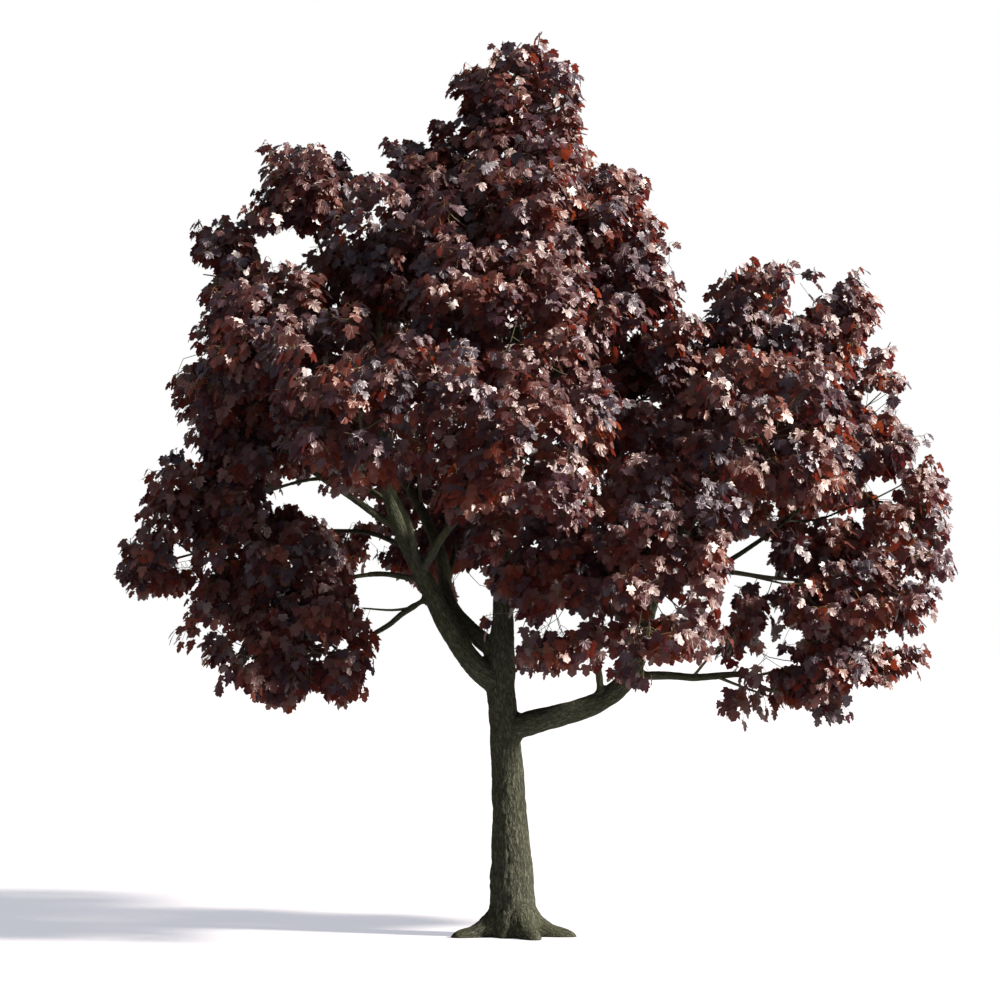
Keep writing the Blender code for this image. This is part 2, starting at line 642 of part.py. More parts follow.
def samples(path):
    """Stations along a limb, close enough together that none slips past a leaf."""
    for here, there in zip(path, path[1:]):
        count = math.ceil((there.xyz - here.xyz).length / WOOD_SAMPLE_STEP)
        for k in range(count):
            yield here.lerp(there, k / count)
    yield path[-1]


def add_leaves(name, space, wood, pieces):
    """Twigs that stand out of the core on all sides, each with a leaf near its end."""
    rng = random.Random(name)
    length = LEAF_SHARE * (space.radii[0] * space.radii[1] * space.radii[2]) ** (1 / 3)
    count = max(FEWEST_LEAVES, round(LEAVES_PER_SQUARE_METRE * surface_area(space.radii)))
    for direction in spread_directions(count):
        spin = rng.uniform(0, 2 * math.pi)
        edge = reach(space, direction)
        for share in PLACES_TRIED:
            blade = blade_at(space, direction, spin, share * edge, length)
            end = blade_point(blade, 0, JOINT) + JOINT_DEPTH * length * blade.facing
            start = space.middle.lerp(end, TWIG_START)
            if blade_fits(space, blade, wood) and twig_fits(start, end, wood):
                make_twig(start, end, pieces)
                make_blade(blade, pieces)
                break


def make_mass(name, stems, paths, sleeves, parts):
    """One mass of leaves: stem, core, twigs and leaves joined, cut clear of all wood but its own."""
    space = space_of(name)
    farthest = 1.3 * max(space.radii)
    nearby = {}
    for limb, path in [*paths.items(), *stems.items()]:
        stations = [s for s in samples(path) if (s.xyz - space.middle).length < farthest + s.w]
        if stations and limb != name:
            nearby[limb] = stations
    wood = [station for stations in nearby.values() for station in stations]

    mass = make_core(name, space, parts)
    pieces = bpy.data.collections.new(f"{name} pieces")
    bpy.context.scene.collection.children.link(pieces)
    tube("stem", stems[name], THIN_BEVEL, pieces)
    add_leaves(name, space, wood, pieces)
    fuse(mass, pieces)
    for limb in sorted({*nearby, MASSES[name].carrier}):
        cut(mass, sleeves[limb])
    apply_modifiers(mass)
    keep_largest_shell(mass)
    finish(mass, LEAF)


def make_masses(paths, sleeves, parts, cutters):
    """Every mass of leaves on its stem."""
    stems = {name: stem_path(mass, paths[mass.carrier]) for name, mass in MASSES.items()}
    for name, path in stems.items():
        sleeves[name] = sleeve(name, path, THIN_BEVEL, cutters)
    for name in MASSES:
        make_mass(name, stems, paths, sleeves, parts)


def main():
    for obj in list(bpy.data.objects):
        bpy.data.objects.remove(obj)
    parts = bpy.data.collections.new("maple tree")
    cutters = bpy.data.collections.new("cutters")
    for collection in (parts, cutters):
        bpy.context.scene.collection.children.link(collection)
    paths = limb_paths()
    make_trunk(paths["trunk"], parts)
    sleeves = make_boughs(paths, parts, cutters)
    make_masses(paths, sleeves, parts, cutters)


main()
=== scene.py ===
"""A purple-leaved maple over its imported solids: bark in one skin, and twigs, stalks and leaves.

The solids give the limbs and the reach of each mass of leaves. The limbs and spaces are worked out here by
the same rule as theirs, in metres and in the same frame, and the rule is carried on to finer twigs with
clumps of leafy sprays. The rear of the crown is as full as the front.
"""

import functools
import json
import math
import random
from collections import namedtuple

import bmesh
import bpy
import numpy as np
from bpy.props import FloatProperty, IntProperty, PointerProperty, StringProperty
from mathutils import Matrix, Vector, noise

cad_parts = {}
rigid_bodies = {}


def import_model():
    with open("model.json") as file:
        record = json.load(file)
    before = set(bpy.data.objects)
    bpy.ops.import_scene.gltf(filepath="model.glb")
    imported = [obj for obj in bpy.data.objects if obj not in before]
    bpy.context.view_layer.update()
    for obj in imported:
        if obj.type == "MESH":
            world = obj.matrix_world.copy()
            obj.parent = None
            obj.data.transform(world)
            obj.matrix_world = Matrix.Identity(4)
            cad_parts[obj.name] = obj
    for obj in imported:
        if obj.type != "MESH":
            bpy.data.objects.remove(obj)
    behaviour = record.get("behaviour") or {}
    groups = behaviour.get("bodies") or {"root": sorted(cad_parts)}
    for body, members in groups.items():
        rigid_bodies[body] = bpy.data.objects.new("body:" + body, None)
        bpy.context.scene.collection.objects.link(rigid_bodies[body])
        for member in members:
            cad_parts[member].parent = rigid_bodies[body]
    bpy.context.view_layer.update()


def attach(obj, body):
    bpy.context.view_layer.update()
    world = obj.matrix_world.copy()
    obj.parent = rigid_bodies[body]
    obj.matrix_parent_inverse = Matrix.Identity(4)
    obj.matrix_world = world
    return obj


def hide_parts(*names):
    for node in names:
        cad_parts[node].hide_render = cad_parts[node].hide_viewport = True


bl_info = {
    "name": "Purple Maple",
    "version": (1, 0, 0),
    "blender": (4, 5, 0),
    "location": "3D View > Sidebar > Maple",
    "description": "Bark, twigs and leaves for a purple-leaved maple, grown over its packed solids",
    "category": "Object",
}

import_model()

GOLDEN_ANGLE = math.pi * (3 - math.sqrt(5))
UP = Vector((0, 0, 1))
SIDEWAYS = Vector((1, 0, 0))
BACKWARDS = Vector((0, 1, 0))

# ---------------------------------------------------------------- the tree's sizes, as in its solids

# The trunk and the leader that it runs up into: x, y, height and radius at each station.
TRUNK = [
    (0.00, 0.00, -0.06, 0.262), (0.00, 0.00, 0.18, 0.240), (-0.01, 0.00, 0.45, 0.224),
    (-0.02, 0.00, 0.80, 0.202), (-0.035, 0.00, 1.25, 0.176), (-0.06, 0.00, 1.75, 0.162),
    (-0.09, 0.00, 2.15, 0.150), (-0.12, 0.00, 2.50, 0.142), (-0.11, 0.00, 2.90, 0.128),
    (-0.10, 0.02, 3.35, 0.098), (-0.10, 0.05, 4.10, 0.080), (-0.04, 0.06, 5.00, 0.064),
    (0.02, 0.04, 6.00, 0.048), (0.02, 0.00, 7.00, 0.032), (0.02, 0.00, 7.60, 0.022),
]

# The roots that spread from its foot: bearing from +X in degrees, reach from the axis, and thickness.
ROOTS = [(-165, 0.66, 0.116), (-115, 0.30, 0.080), (-60, 0.50, 0.124), (-7, 0.66, 0.110),
         (58, 0.54, 0.104), (128, 0.58, 0.106)]
ROOT_TOP = 0.42

# The boughs: the parent limb, the points passed from the fork to the end, and the radius at each end.
Bough = namedtuple("Bough", "parent points foot end")
BOUGHS = {
    "bough_left": Bough("trunk", [
        (-0.12, 0.00, 2.46), (-0.38, -0.04, 2.69), (-0.65, -0.12, 3.08), (-0.86, -0.18, 3.51),
        (-1.11, -0.26, 4.02), (-1.25, -0.32, 4.53), (-1.30, -0.34, 5.30), (-1.33, -0.31, 6.20)],
        0.128, 0.036),
    "bough_left_top": Bough("bough_left", [
        (-1.28, -0.33, 4.95), (-1.52, -0.10, 5.60), (-1.78, 0.00, 6.40), (-1.98, 0.00, 7.02)],
        0.036, 0.018),
    "bough_left_tip_upper": Bough("bough_left", [
        (-1.26, -0.33, 4.62), (-1.60, 0.12, 5.10), (-2.20, 0.22, 5.80), (-2.68, 0.08, 6.32)], 0.032, 0.014),
    "bough_left_upper": Bough("bough_left", [
        (-1.25, -0.32, 4.50), (-1.55, -0.50, 5.00), (-2.02, -0.65, 5.55)], 0.036, 0.022),
    "bough_left_mid": Bough("bough_left", [
        (-1.10, -0.26, 4.00), (-1.62, -0.30, 4.37), (-1.90, -0.15, 4.55), (-2.22, -0.02, 4.78)],
        0.044, 0.024),
    "bough_left_front": Bough("bough_left", [
        (-0.95, -0.21, 3.68), (-1.05, -0.75, 4.15), (-1.34, -1.35, 4.68)], 0.042, 0.022),
    "bough_left_low_tip": Bough("bough_left", [
        (-1.20, -0.30, 4.28), (-1.55, 0.05, 4.50), (-1.98, 0.14, 4.56), (-2.50, 0.18, 4.44)], 0.034, 0.016),
    "bough_left_far_tip": Bough("bough_left", [
        (-1.04, -0.24, 3.86), (-1.60, 0.70, 4.05), (-2.60, 0.92, 4.00), (-3.34, 0.30, 3.78)], 0.032, 0.012),
    "bough_left_lower": Bough("bough_left", [
        (-0.88, -0.18, 3.52), (-1.30, -0.12, 3.60), (-1.68, -0.05, 3.56)], 0.036, 0.024),
    "bough_left_bottom": Bough("bough_left", [
        (-0.82, -0.16, 3.38), (-1.08, -0.16, 3.22), (-1.24, -0.18, 3.09), (-1.52, -0.20, 2.93)],
        0.038, 0.024),
    "bough_behind": Bough("trunk", [
        (-0.11, 0.00, 2.76), (-0.62, 0.22, 3.27), (-0.74, 0.52, 3.82), (-1.10, 1.00, 4.55),
        (-1.58, 1.28, 5.06)], 0.100, 0.030),
    "bough_low_back": Bough("bough_behind", [
        (-0.70, 0.34, 3.55), (-0.62, 0.85, 3.74), (-0.61, 1.22, 3.93)], 0.042, 0.026),
    "bough_front": Bough("bough_left", [
        (-0.92, -0.20, 3.60), (-0.68, -0.60, 3.98), (-0.38, -1.00, 4.30), (-0.18, -1.42, 4.60)],
        0.050, 0.026),
    "bough_right_shoulder": Bough("trunk", [
        (-0.03, 0.06, 5.15), (0.45, 0.02, 5.62), (0.82, -0.04, 6.06)], 0.044, 0.024),
    "bough_right_centre": Bough("trunk", [
        (-0.08, 0.05, 4.30), (0.45, 0.12, 4.80), (0.98, 0.20, 5.16)], 0.050, 0.028),
    "bough_right": Bough("trunk", [
        (-0.08, 0.00, 2.04), (0.30, 0.00, 2.15), (0.71, 0.00, 2.26), (1.03, 0.00, 2.44), (1.22, 0.00, 2.70),
        (1.32, 0.06, 3.10), (1.50, 0.10, 3.70), (1.85, -0.20, 4.25), (2.08, -0.55, 4.55)], 0.132, 0.052),
    "bough_low_centre": Bough("bough_right", [
        (0.85, 0.00, 2.36), (0.86, -0.06, 2.56), (0.80, -0.25, 2.90)], 0.044, 0.030),
    "bough_right_low": Bough("bough_right", [
        (1.14, 0.00, 2.60), (1.53, -0.05, 2.59), (1.84, -0.04, 2.57), (2.25, 0.00, 2.60),
        (2.41, 0.00, 2.56), (2.66, 0.00, 2.70)], 0.050, 0.028),
    "bough_low_right": Bough("bough_right", [
        (1.26, 0.04, 2.90), (1.33, -0.22, 3.16), (1.34, -0.46, 3.36)], 0.040, 0.026),
    "bough_right_lower": Bough("bough_right", [
        (1.38, 0.08, 3.36), (1.87, 0.06, 3.59), (2.09, 0.04, 3.63), (2.41, 0.00, 3.58),
        (2.98, -0.04, 3.46)], 0.044, 0.022),
    "bough_right_mid": Bough("bough_right_lower", [
        (2.00, 0.04, 3.61), (2.45, 0.08, 3.92), (2.75, 0.08, 4.15), (3.00, 0.06, 4.36)], 0.030, 0.020),
    "bough_right_tip": Bough("bough_right_mid", [
        (2.72, 0.08, 4.12), (3.10, 0.24, 4.16), (3.40, 0.22, 4.28), (3.68, 0.06, 4.32)], 0.018, 0.012),
    "bough_right_top": Bough("bough_right", [
        (1.80, -0.16, 4.18), (2.00, 0.05, 4.70), (2.32, 0.02, 5.58)], 0.036, 0.020),
    "bough_right_top_outer": Bough("bough_right_top", [
        (2.10, 0.06, 4.95), (2.62, 0.12, 5.08), (3.04, 0.02, 5.60)], 0.024, 0.016),
    "bough_right_back": Bough("bough_right", [
        (1.45, 0.10, 3.56), (1.66, 0.52, 3.80), (2.05, 0.98, 4.18)], 0.042, 0.026),
}

# The masses of leaves: the limb that carries each, the middle of its space, and its half-width,
# half-depth and half-height. Where the stem springs from the side of the trunk, the height of that too.
Mass = namedtuple("Mass", "carrier middle radii springs", defaults=[None])
MASSES = {
    "leaves_top": Mass("trunk", (0.05, 0.00, 8.20), (0.72, 0.66, 0.86)),
    "leaves_upper_left": Mass("trunk", (-0.80, -0.10, 7.50), (0.58, 0.82, 0.63), 6.85),
    "leaves_upper_front": Mass("trunk", (0.07, -0.80, 7.15), (0.84, 0.76, 0.71), 6.60),
    "leaves_upper_right": Mass("trunk", (0.82, 0.00, 7.22), (0.58, 0.86, 0.60), 6.70),
    "leaves_upper_back": Mass("trunk", (0.08, 0.90, 7.40), (0.96, 0.88, 0.74), 6.72),
    "leaves_centre_front": Mass("trunk", (-0.16, -1.25, 6.14), (1.00, 1.10, 0.80), 5.40),
    "leaves_centre_back": Mass("trunk", (-0.08, 1.35, 6.24), (1.31, 1.26, 0.97), 5.30),
    "leaves_right_shoulder": Mass("bough_right_shoulder", (1.13, -0.10, 6.42), (0.63, 0.95, 0.73)),
    "leaves_left_top": Mass("bough_left_top", (-2.02, 0.00, 7.42), (0.71, 0.67, 0.57)),
    "leaves_left_inner": Mass("bough_left", (-1.32, -0.30, 6.66), (0.82, 0.95, 0.88)),
    "leaves_left_tip_upper": Mass("bough_left_tip_upper", (-2.92, 0.00, 6.80), (0.44, 0.44, 0.42)),
    "leaves_left_upper": Mass("bough_left_upper", (-2.42, -0.80, 5.94), (0.84, 1.00, 0.65)),
    "leaves_left_back": Mass("bough_behind", (-2.15, 1.55, 5.66), (1.12, 1.28, 0.95)),
    "leaves_left_mid": Mass("bough_left_mid", (-2.72, 0.10, 5.18), (0.90, 1.06, 0.67)),
    "leaves_left_front": Mass("bough_left_front", (-1.46, -1.90, 5.16), (0.88, 0.97, 0.76)),
    "leaves_left_low_tip": Mass("bough_left_low_tip", (-3.00, 0.20, 4.40), (0.78, 0.67, 0.53)),
    "leaves_left_far_tip": Mass("bough_left_far_tip", (-3.54, 0.00, 3.70), (0.46, 0.42, 0.44)),
    "leaves_left_lower": Mass("bough_left_lower", (-2.43, 0.05, 3.62), (1.08, 1.08, 0.70)),
    "leaves_left_bottom": Mass("bough_left_bottom", (-2.26, -0.30, 2.86), (0.99, 0.96, 0.60)),
    "leaves_low_back": Mass("bough_low_back", (-0.61, 2.00, 4.10), (1.46, 1.03, 0.77)),
    "leaves_mid_front": Mass("bough_front", (-0.04, -2.10, 4.86), (1.18, 1.00, 0.76)),
    "leaves_low_centre": Mass("bough_low_centre", (0.44, -0.95, 3.66), (0.84, 0.86, 1.11)),
    "leaves_low_right": Mass("bough_low_right", (1.38, -1.25, 3.80), (0.80, 1.00, 1.20)),
    "leaves_right_centre": Mass("bough_right_centre", (1.46, 0.25, 5.46), (1.00, 1.22, 0.97)),
    "leaves_right_top": Mass("bough_right_top", (2.46, 0.00, 6.10), (0.57, 0.69, 0.69)),
    "leaves_right_top_outer": Mass("bough_right_top_outer", (3.22, 0.00, 6.08), (0.53, 0.59, 0.64)),
    "leaves_right_body": Mass("bough_right", (2.46, -1.20, 4.96), (0.92, 1.07, 0.80)),
    "leaves_right_back": Mass("bough_right_back", (2.50, 1.50, 4.84), (1.15, 1.28, 0.92)),
    "leaves_right_mid": Mass("bough_right_mid", (3.36, 0.10, 4.98), (0.76, 0.98, 0.88)),
    "leaves_right_tip": Mass("bough_right_tip", (3.97, 0.00, 4.22), (0.48, 0.50, 0.59)),
    "leaves_right_lower": Mass("bough_right_lower", (3.22, -0.10, 3.52), (1.10, 0.92, 0.76)),
    "leaves_right_bottom": Mass("bough_right_low", (3.16, 0.00, 2.74), (0.98, 0.84, 0.52)),
}

SQUARENESS = 2.6  # power of a mass's rounded form: 2 is an egg shape, and more is squarer
BOUGH_END_SHARE = 0.86  # where a bough ends, as a share of the way from the middle of its mass to the edge
TAPER_POWER = 0.85  # under 1, a bough loses more of its thickness near its foot
COLLAR = 1.25  # how much thicker a bough is where it leaves its parent
STEM_END_RADIUS = 0.016
SLIMMER = 0.8  # greatest radius of a limb where it springs, as a share of its parent's there
STEM_SHARE = 0.95  # radius of a stem that carries on a bough, as a share of the bough's end
SIDE_STEM_SHARE = 0.6  # radius of a stem from the side of the trunk, as a share of the trunk's
STEM_ONWARD = 0.4  # how far a stem keeps to the line of its bough, as a share of its span
STEM_SAG = 0.12  # how far the stem of a mass on the trunk sags, as a share of its span
STEP = 0.06  # distance between the stations of a limb
FINE_STEPS = 16  # points worked out between two of a limb's given stations

# ---------------------------------------------------------------- what is finer than the solids

# Thin branches that lift sprays past the edge of a mass, fill a thin place in it or show between the low
# masses: the parent, the points passed, the number of sprays on the outer half, and the radius at each end.
Branchlet = namedtuple("Branchlet", "parent points sprays foot end", defaults=[0.014, 0.006])
BRANCHLETS = [
    Branchlet("bough_right_low", [(1.79, -0.04, 2.58), (1.98, -0.06, 2.80), (2.10, -0.08, 2.92),
                                  (2.30, -0.08, 3.22), (2.52, -0.08, 3.38)], 7, 0.018, 0.006),
    Branchlet("bough_right_low", [(2.02, -0.03, 2.58), (2.30, -0.08, 2.47), (2.62, -0.12, 2.36)],
              2, 0.020, 0.009),
    Branchlet("bough_right_low", [(2.44, -0.02, 2.60), (2.30, -0.12, 2.46), (2.10, -0.16, 2.34)],
              3, 0.006, 0.003),
    Branchlet("bough_left_bottom", [(-1.02, -0.16, 3.26), (-1.22, -0.12, 3.24), (-1.50, -0.08, 3.26)],
              1, 0.018, 0.009),
    Branchlet("bough_behind", [(-0.95, 0.80, 4.30), (-0.96, 0.90, 4.70), (-0.95, 0.95, 5.12)],
              7, 0.020, 0.008),
    Branchlet("trunk", [(0.02, 0.00, 7.50), (-0.32, -0.06, 8.12), (-0.52, -0.10, 8.62)], 8),
    Branchlet("trunk", [(0.02, 0.00, 7.30), (-0.42, -0.12, 7.72), (-0.74, -0.16, 8.12)], 9),
    Branchlet("trunk", [(0.02, 0.00, 7.55), (0.18, -0.04, 8.50), (0.27, -0.06, 9.00)], 5),
    Branchlet("bough_right_top", [(2.30, 0.02, 5.50), (2.40, -0.04, 6.20), (2.40, -0.06, 6.74)], 7),
    Branchlet("bough_right_top_outer", [(3.00, 0.02, 5.55), (3.24, -0.02, 6.16), (3.46, -0.04, 6.64)], 6),
    Branchlet("bough_right_mid", [(2.95, 0.06, 4.32), (3.44, -0.04, 5.30), (3.78, -0.06, 5.92)], 7),
    Branchlet("bough_right_centre", [(0.90, 0.18, 5.10), (1.45, 0.05, 5.70), (1.86, -0.04, 6.14)], 6),
    Branchlet("bough_left_tip_upper", [(-2.60, 0.10, 6.24), (-2.94, 0.00, 6.78), (-3.14, -0.06, 7.12)],
              5, 0.012, 0.006),
    Branchlet("bough_right_low", [(2.62, 0.00, 2.68), (3.34, -0.06, 2.76), (4.06, -0.08, 2.86)],
              9, 0.018, 0.006),
    Branchlet("bough_left_low_tip", [(-2.40, 0.18, 4.46), (-3.05, 0.02, 4.42), (-3.56, -0.06, 4.36)], 7),
    Branchlet("bough_left_far_tip", [(-3.20, 0.36, 3.82), (-3.50, 0.10, 4.00), (-3.66, -0.04, 4.10)],
              4, 0.012, 0.006),
    Branchlet("bough_low_centre", [(0.82, -0.20, 2.80), (0.52, -0.44, 2.96), (0.20, -0.50, 2.94)],
              6, 0.012, 0.006),
    Branchlet("bough_low_right", [(1.34, -0.40, 3.30), (1.18, -0.62, 3.30), (1.02, -0.76, 3.30)],
              4, 0.012, 0.006),
    Branchlet("bough_left_top", [(-1.95, 0.00, 6.95), (-2.25, -0.05, 7.50), (-2.46, -0.06, 7.92)],
              5, 0.012, 0.006),
    Branchlet("bough_left", [(-1.33, -0.33, 5.90), (-1.75, -0.40, 6.38), (-2.02, -0.46, 6.74)], 8),
    Branchlet("bough_right", [(1.24, 0.00, 2.80), (1.12, -0.35, 3.02), (0.96, -0.62, 3.06)], 8),
    Branchlet("bough_right", [(1.30, 0.03, 2.98), (1.46, -0.38, 3.12), (1.52, -0.70, 3.10)], 6),
    Branchlet("bough_right_centre", [(0.20, 0.08, 4.58), (0.56, -0.30, 4.72), (0.88, -0.40, 4.74)], 6),
    Branchlet("trunk", [(-0.08, 0.05, 4.50), (0.12, -0.30, 4.95), (0.32, -0.50, 5.16)], 5),
    Branchlet("bough_right_centre", [(0.80, 0.16, 5.02), (1.15, 0.32, 5.60), (1.32, 0.36, 6.12)], 7),
    Branchlet("bough_right_centre", [(0.70, 0.14, 4.96), (1.06, 0.52, 5.28), (1.24, 0.58, 5.50)], 5),
    Branchlet("bough_left_bottom", [(-1.44, -0.20, 2.97), (-1.60, -0.30, 2.74), (-1.64, -0.34, 2.52)],
              4, 0.012, 0.006),
    Branchlet("bough_right_lower", [(2.90, -0.04, 3.48), (3.46, -0.12, 3.32), (4.00, -0.12, 3.14)], 7),
    Branchlet("bough_left_mid", [(-2.15, -0.05, 4.74), (-2.70, -0.10, 4.86), (-3.05, -0.14, 4.92)], 6),
    Branchlet("bough_left_upper", [(-1.98, -0.64, 5.52), (-2.60, -0.70, 5.84), (-3.12, -0.72, 6.02)], 6),
    Branchlet("trunk", [(0.02, 0.00, 7.20), (-0.60, -0.10, 7.60), (-1.06, -0.14, 7.92)], 6),
    Branchlet("bough_right_top_outer", [(3.02, 0.02, 5.58), (3.40, -0.02, 6.00), (3.62, -0.04, 6.36)], 5),
    Branchlet("bough_right_tip", [(3.66, 0.06, 4.32), (4.00, 0.00, 4.56), (4.18, -0.04, 4.76)],
              3, 0.010, 0.005),
]

# Where the crown is open to the sky, seen from the front: the middle x and height at the depth of the
# trunk, and the half-width and half-height of the opening.
OPENINGS = [
    # windows in it
    (-2.28, 6.88, 0.30, 0.17), (-2.27, 4.51, 0.10, 0.07),
    (-2.02, 4.25, 0.13, 0.10), (-1.68, 4.28, 0.26, 0.10),
    (-1.22, 3.42, 0.28, 0.18), (1.84, 6.52, 0.12, 0.12), (2.89, 6.42, 0.12, 0.28), (3.63, 5.34, 0.14, 0.13),
    (3.68, 4.47, 0.20, 0.11), (2.63, 4.19, 0.07, 0.11), (2.35, 3.81, 0.23, 0.17), (2.24, 3.50, 0.12, 0.09),
    (2.74, 3.52, 0.11, 0.07), (2.14, 3.32, 0.08, 0.20), (2.80, 2.98, 0.11, 0.12), (2.50, 2.73, 0.30, 0.09),
    (-0.41, 3.34, 0.20, 0.40), (0.50, 3.10, 0.20, 0.14),
    (-0.10, 2.98, 0.16, 0.33), (1.52, 2.62, 0.36, 0.10),
    # bays in its outline
    (0.92, 8.32, 0.23, 0.55), (-0.40, 8.82, 0.18, 0.14), (1.60, 7.50, 0.25, 0.38), (1.12, 7.82, 0.26, 0.18),
    (1.80, 6.75, 0.17, 0.24), (-1.42, 7.72, 0.20, 0.12), (3.70, 5.95, 0.17, 0.13), (3.98, 5.74, 0.15, 0.18),
    (2.74, 6.84, 0.20, 0.11), (-2.10, 7.98, 0.45, 0.08), (4.06, 5.26, 0.22, 0.26), (4.56, 4.20, 0.20, 0.42),
    (4.42, 3.06, 0.18, 0.32), (3.64, 2.28, 0.32, 0.20),
    (-3.08, 6.58, 0.11, 0.14), (-3.38, 6.50, 0.22, 0.55),
    (-3.58, 5.72, 0.22, 0.36), (-3.68, 4.95, 0.22, 0.40),
    (-3.30, 3.74, 0.10, 0.14), (-3.54, 3.26, 0.30, 0.12),
    (-3.34, 2.34, 0.20, 0.20), (-2.85, 2.30, 0.30, 0.20),
    (-2.30, 2.15, 0.32, 0.14), (-1.92, 2.20, 0.16, 0.18),
    (-1.18, 2.78, 0.19, 0.34), (-1.42, 3.34, 0.15, 0.28),
]
EYE = Vector((-0.13, -30.0, 3.15))  # where the tree is seen from
EYE_PITCH = math.radians(2.275)  # above the level
EYE_LENS = 108.0  # millimetres, on a 36 mm frame


# ---------------------------------------------------------------- limbs and spaces, by the solids' rule

Space = namedtuple("Space", "middle radii planes")


def distances_run(points):
    """How far along a line of points each of them is."""
    run = [0.0]
    for here, there in zip(points, points[1:]):
        run.append(run[-1] + (there.xyz - here.xyz).length)
    return run


def smooth_path(stations, step=STEP):
    """Evenly spaced points on one smooth curve through x, y, z, radius stations (Catmull-Rom)."""
    ends = [2 * stations[0] - stations[1], *stations, 2 * stations[-1] - stations[-2]]
    fine = []
    for a, b, c, d in zip(ends, ends[1:], ends[2:], ends[3:]):
        for k in range(FINE_STEPS):
            t = k / FINE_STEPS
            fine.append(0.5 * (2 * b + (c - a) * t + (2 * a - 5 * b + 4 * c - d) * t ** 2
                               + (3 * b - a - 3 * c + d) * t ** 3))
    fine.append(stations[-1])
    travelled = distances_run(fine)
    count = max(3, round(travelled[-1] / step) + 1)
    path, k = [], 0
    for index in range(count):
        wanted = travelled[-1] * index / (count - 1)
        while k < len(fine) - 2 and travelled[k + 1] < wanted:
            k += 1
        share = (wanted - travelled[k]) / (travelled[k + 1] - travelled[k])
        path.append(fine[k].lerp(fine[k + 1], min(share, 1.0)))
    return path


def nearest_station(path, point):
    """The place on a limb's axis, with the radius there, that is nearest to a point."""
    best = None
    for here, there in zip(path, path[1:]):
        along = there.xyz - here.xyz
        share = max(0.0, min(1.0, (point - here.xyz).dot(along) / along.length_squared))
        station = here.lerp(there, share)
        distance = (station.xyz - point).length
        if best is None or distance < best[0]:
            best = (distance, station)
    return best[1]


def bough_path(bough, parent_path):
    """A bough from the axis of its parent to its end, tapering, with a collar where it leaves that."""
    points = [Vector(point) for point in bough.points]
    spring = nearest_station(parent_path, points[0])
    points[0] = spring.xyz
    travelled = distances_run(points)
    stations = []
    for point, distance in zip(points, travelled):
        radius = bough.foot + (bough.end - bough.foot) * (distance / travelled[-1]) ** TAPER_POWER
        stations.append(Vector((*point, radius)))
    path = smooth_path(stations)
    path[0].w = min(COLLAR * bough.foot, SLIMMER * spring.w)
    return path


def end_at_mass(path, space):
    """A bough's path as far as it stays outside the core of its mass, where the stem takes over."""
    outside = []
    for station in path:
        offset = station.xyz - space.middle
        if offset.length / reach(space, offset.normalized()) < BOUGH_END_SHARE:
            break
        outside.append(station)
    return outside


@functools.cache
def limb_paths():
    """The axis and radii of the trunk and of every bough, by name."""
    paths = {"trunk": smooth_path([Vector(station) for station in TRUNK])}
    for name, bough in BOUGHS.items():
        paths[name] = bough_path(bough, paths[bough.parent])
    for name, mass in MASSES.items():
        if mass.carrier in BOUGHS:
            paths[mass.carrier] = end_at_mass(paths[mass.carrier], space_of(name))
    return paths


@functools.cache
def branchlet_paths():
    """The axis and radii of every branchlet."""
    return [bough_path(branchlet, limb_paths()[branchlet.parent]) for branchlet in BRANCHLETS]


def stem_path(mass, carrier_path):
    """The stem of a mass, from the end of its bough or the side of the trunk to the middle of its space."""
    middle = Vector(mass.middle)
    if mass.springs is None:
        tip, before = carrier_path[-1], carrier_path[-2]
        onward = (tip.xyz - before.xyz).normalized()
        start = before.xyz
        bend = tip.xyz + STEM_ONWARD * (middle - tip.xyz).length * onward
        radius = STEM_SHARE * tip.w
    else:
        spring = nearest_station(carrier_path, Vector((0, 0, mass.springs)))
        start = spring.xyz
        bend = start.lerp(middle, 0.5) - STEM_SAG * (middle - start).length * UP
        radius = SIDE_STEM_SHARE * spring.w
    return smooth_path([Vector((*start, radius)), Vector((*bend, (radius + STEM_END_RADIUS) / 2)),
                        Vector((*middle, STEM_END_RADIUS))])


def root_path(bearing, root_reach, thickness):
    """A root from inside the trunk, out over the ground and down past the flat cut."""
    angle = math.radians(bearing)
    outward = Vector((math.cos(angle), math.sin(angle), 0))
    stations = [
        # inside the trunk and out of its side
        Vector((*(0.06 * outward + ROOT_TOP * UP), 0.8 * thickness)),
        Vector((*(0.20 * outward + 0.16 * UP), thickness)),
        # over the ground and into it, by shares of the reach
        Vector((*(0.58 * root_reach * outward + 0.03 * UP), 0.90 * thickness)),
        Vector((*(0.86 * root_reach * outward), 0.78 * thickness)),
        Vector((*(0.98 * root_reach * outward - 0.03 * UP), 0.42 * thickness)),
    ]
    return smooth_path(stations)


def fill(offset, radii):
    """How far out a point is in the rounded form of these radii: 1 on its surface."""
    return sum(abs(d / r) ** SQUARENESS for d, r in zip(offset, radii)) ** (1 / SQUARENESS)


@functools.cache
def space_of(name):
    """A mass's rounded form, with the planes that part it from every other mass."""
    mass = MASSES[name]
    planes = []
    for other_name, other in MASSES.items():
        if other_name == name:
            continue
        across = Vector(other.middle) - Vector(mass.middle)
        direction = across.normalized()
        mine, theirs = 1 / fill(direction, mass.radii), 1 / fill(direction, other.radii)
        planes.append((direction, across.length * mine / (mine + theirs)))
    return Space(Vector(mass.middle), mass.radii, planes)


def reach(space, direction, swell=1.0):
    """Distance from the middle of a space to its edge, in a unit direction, with its form swelled."""
    distance = swell / fill(direction, space.radii)
    for normal, limit in space.planes:
        slope = direction.dot(normal)
        if slope > 0:
            distance = min(distance, limit / slope)
    return distance


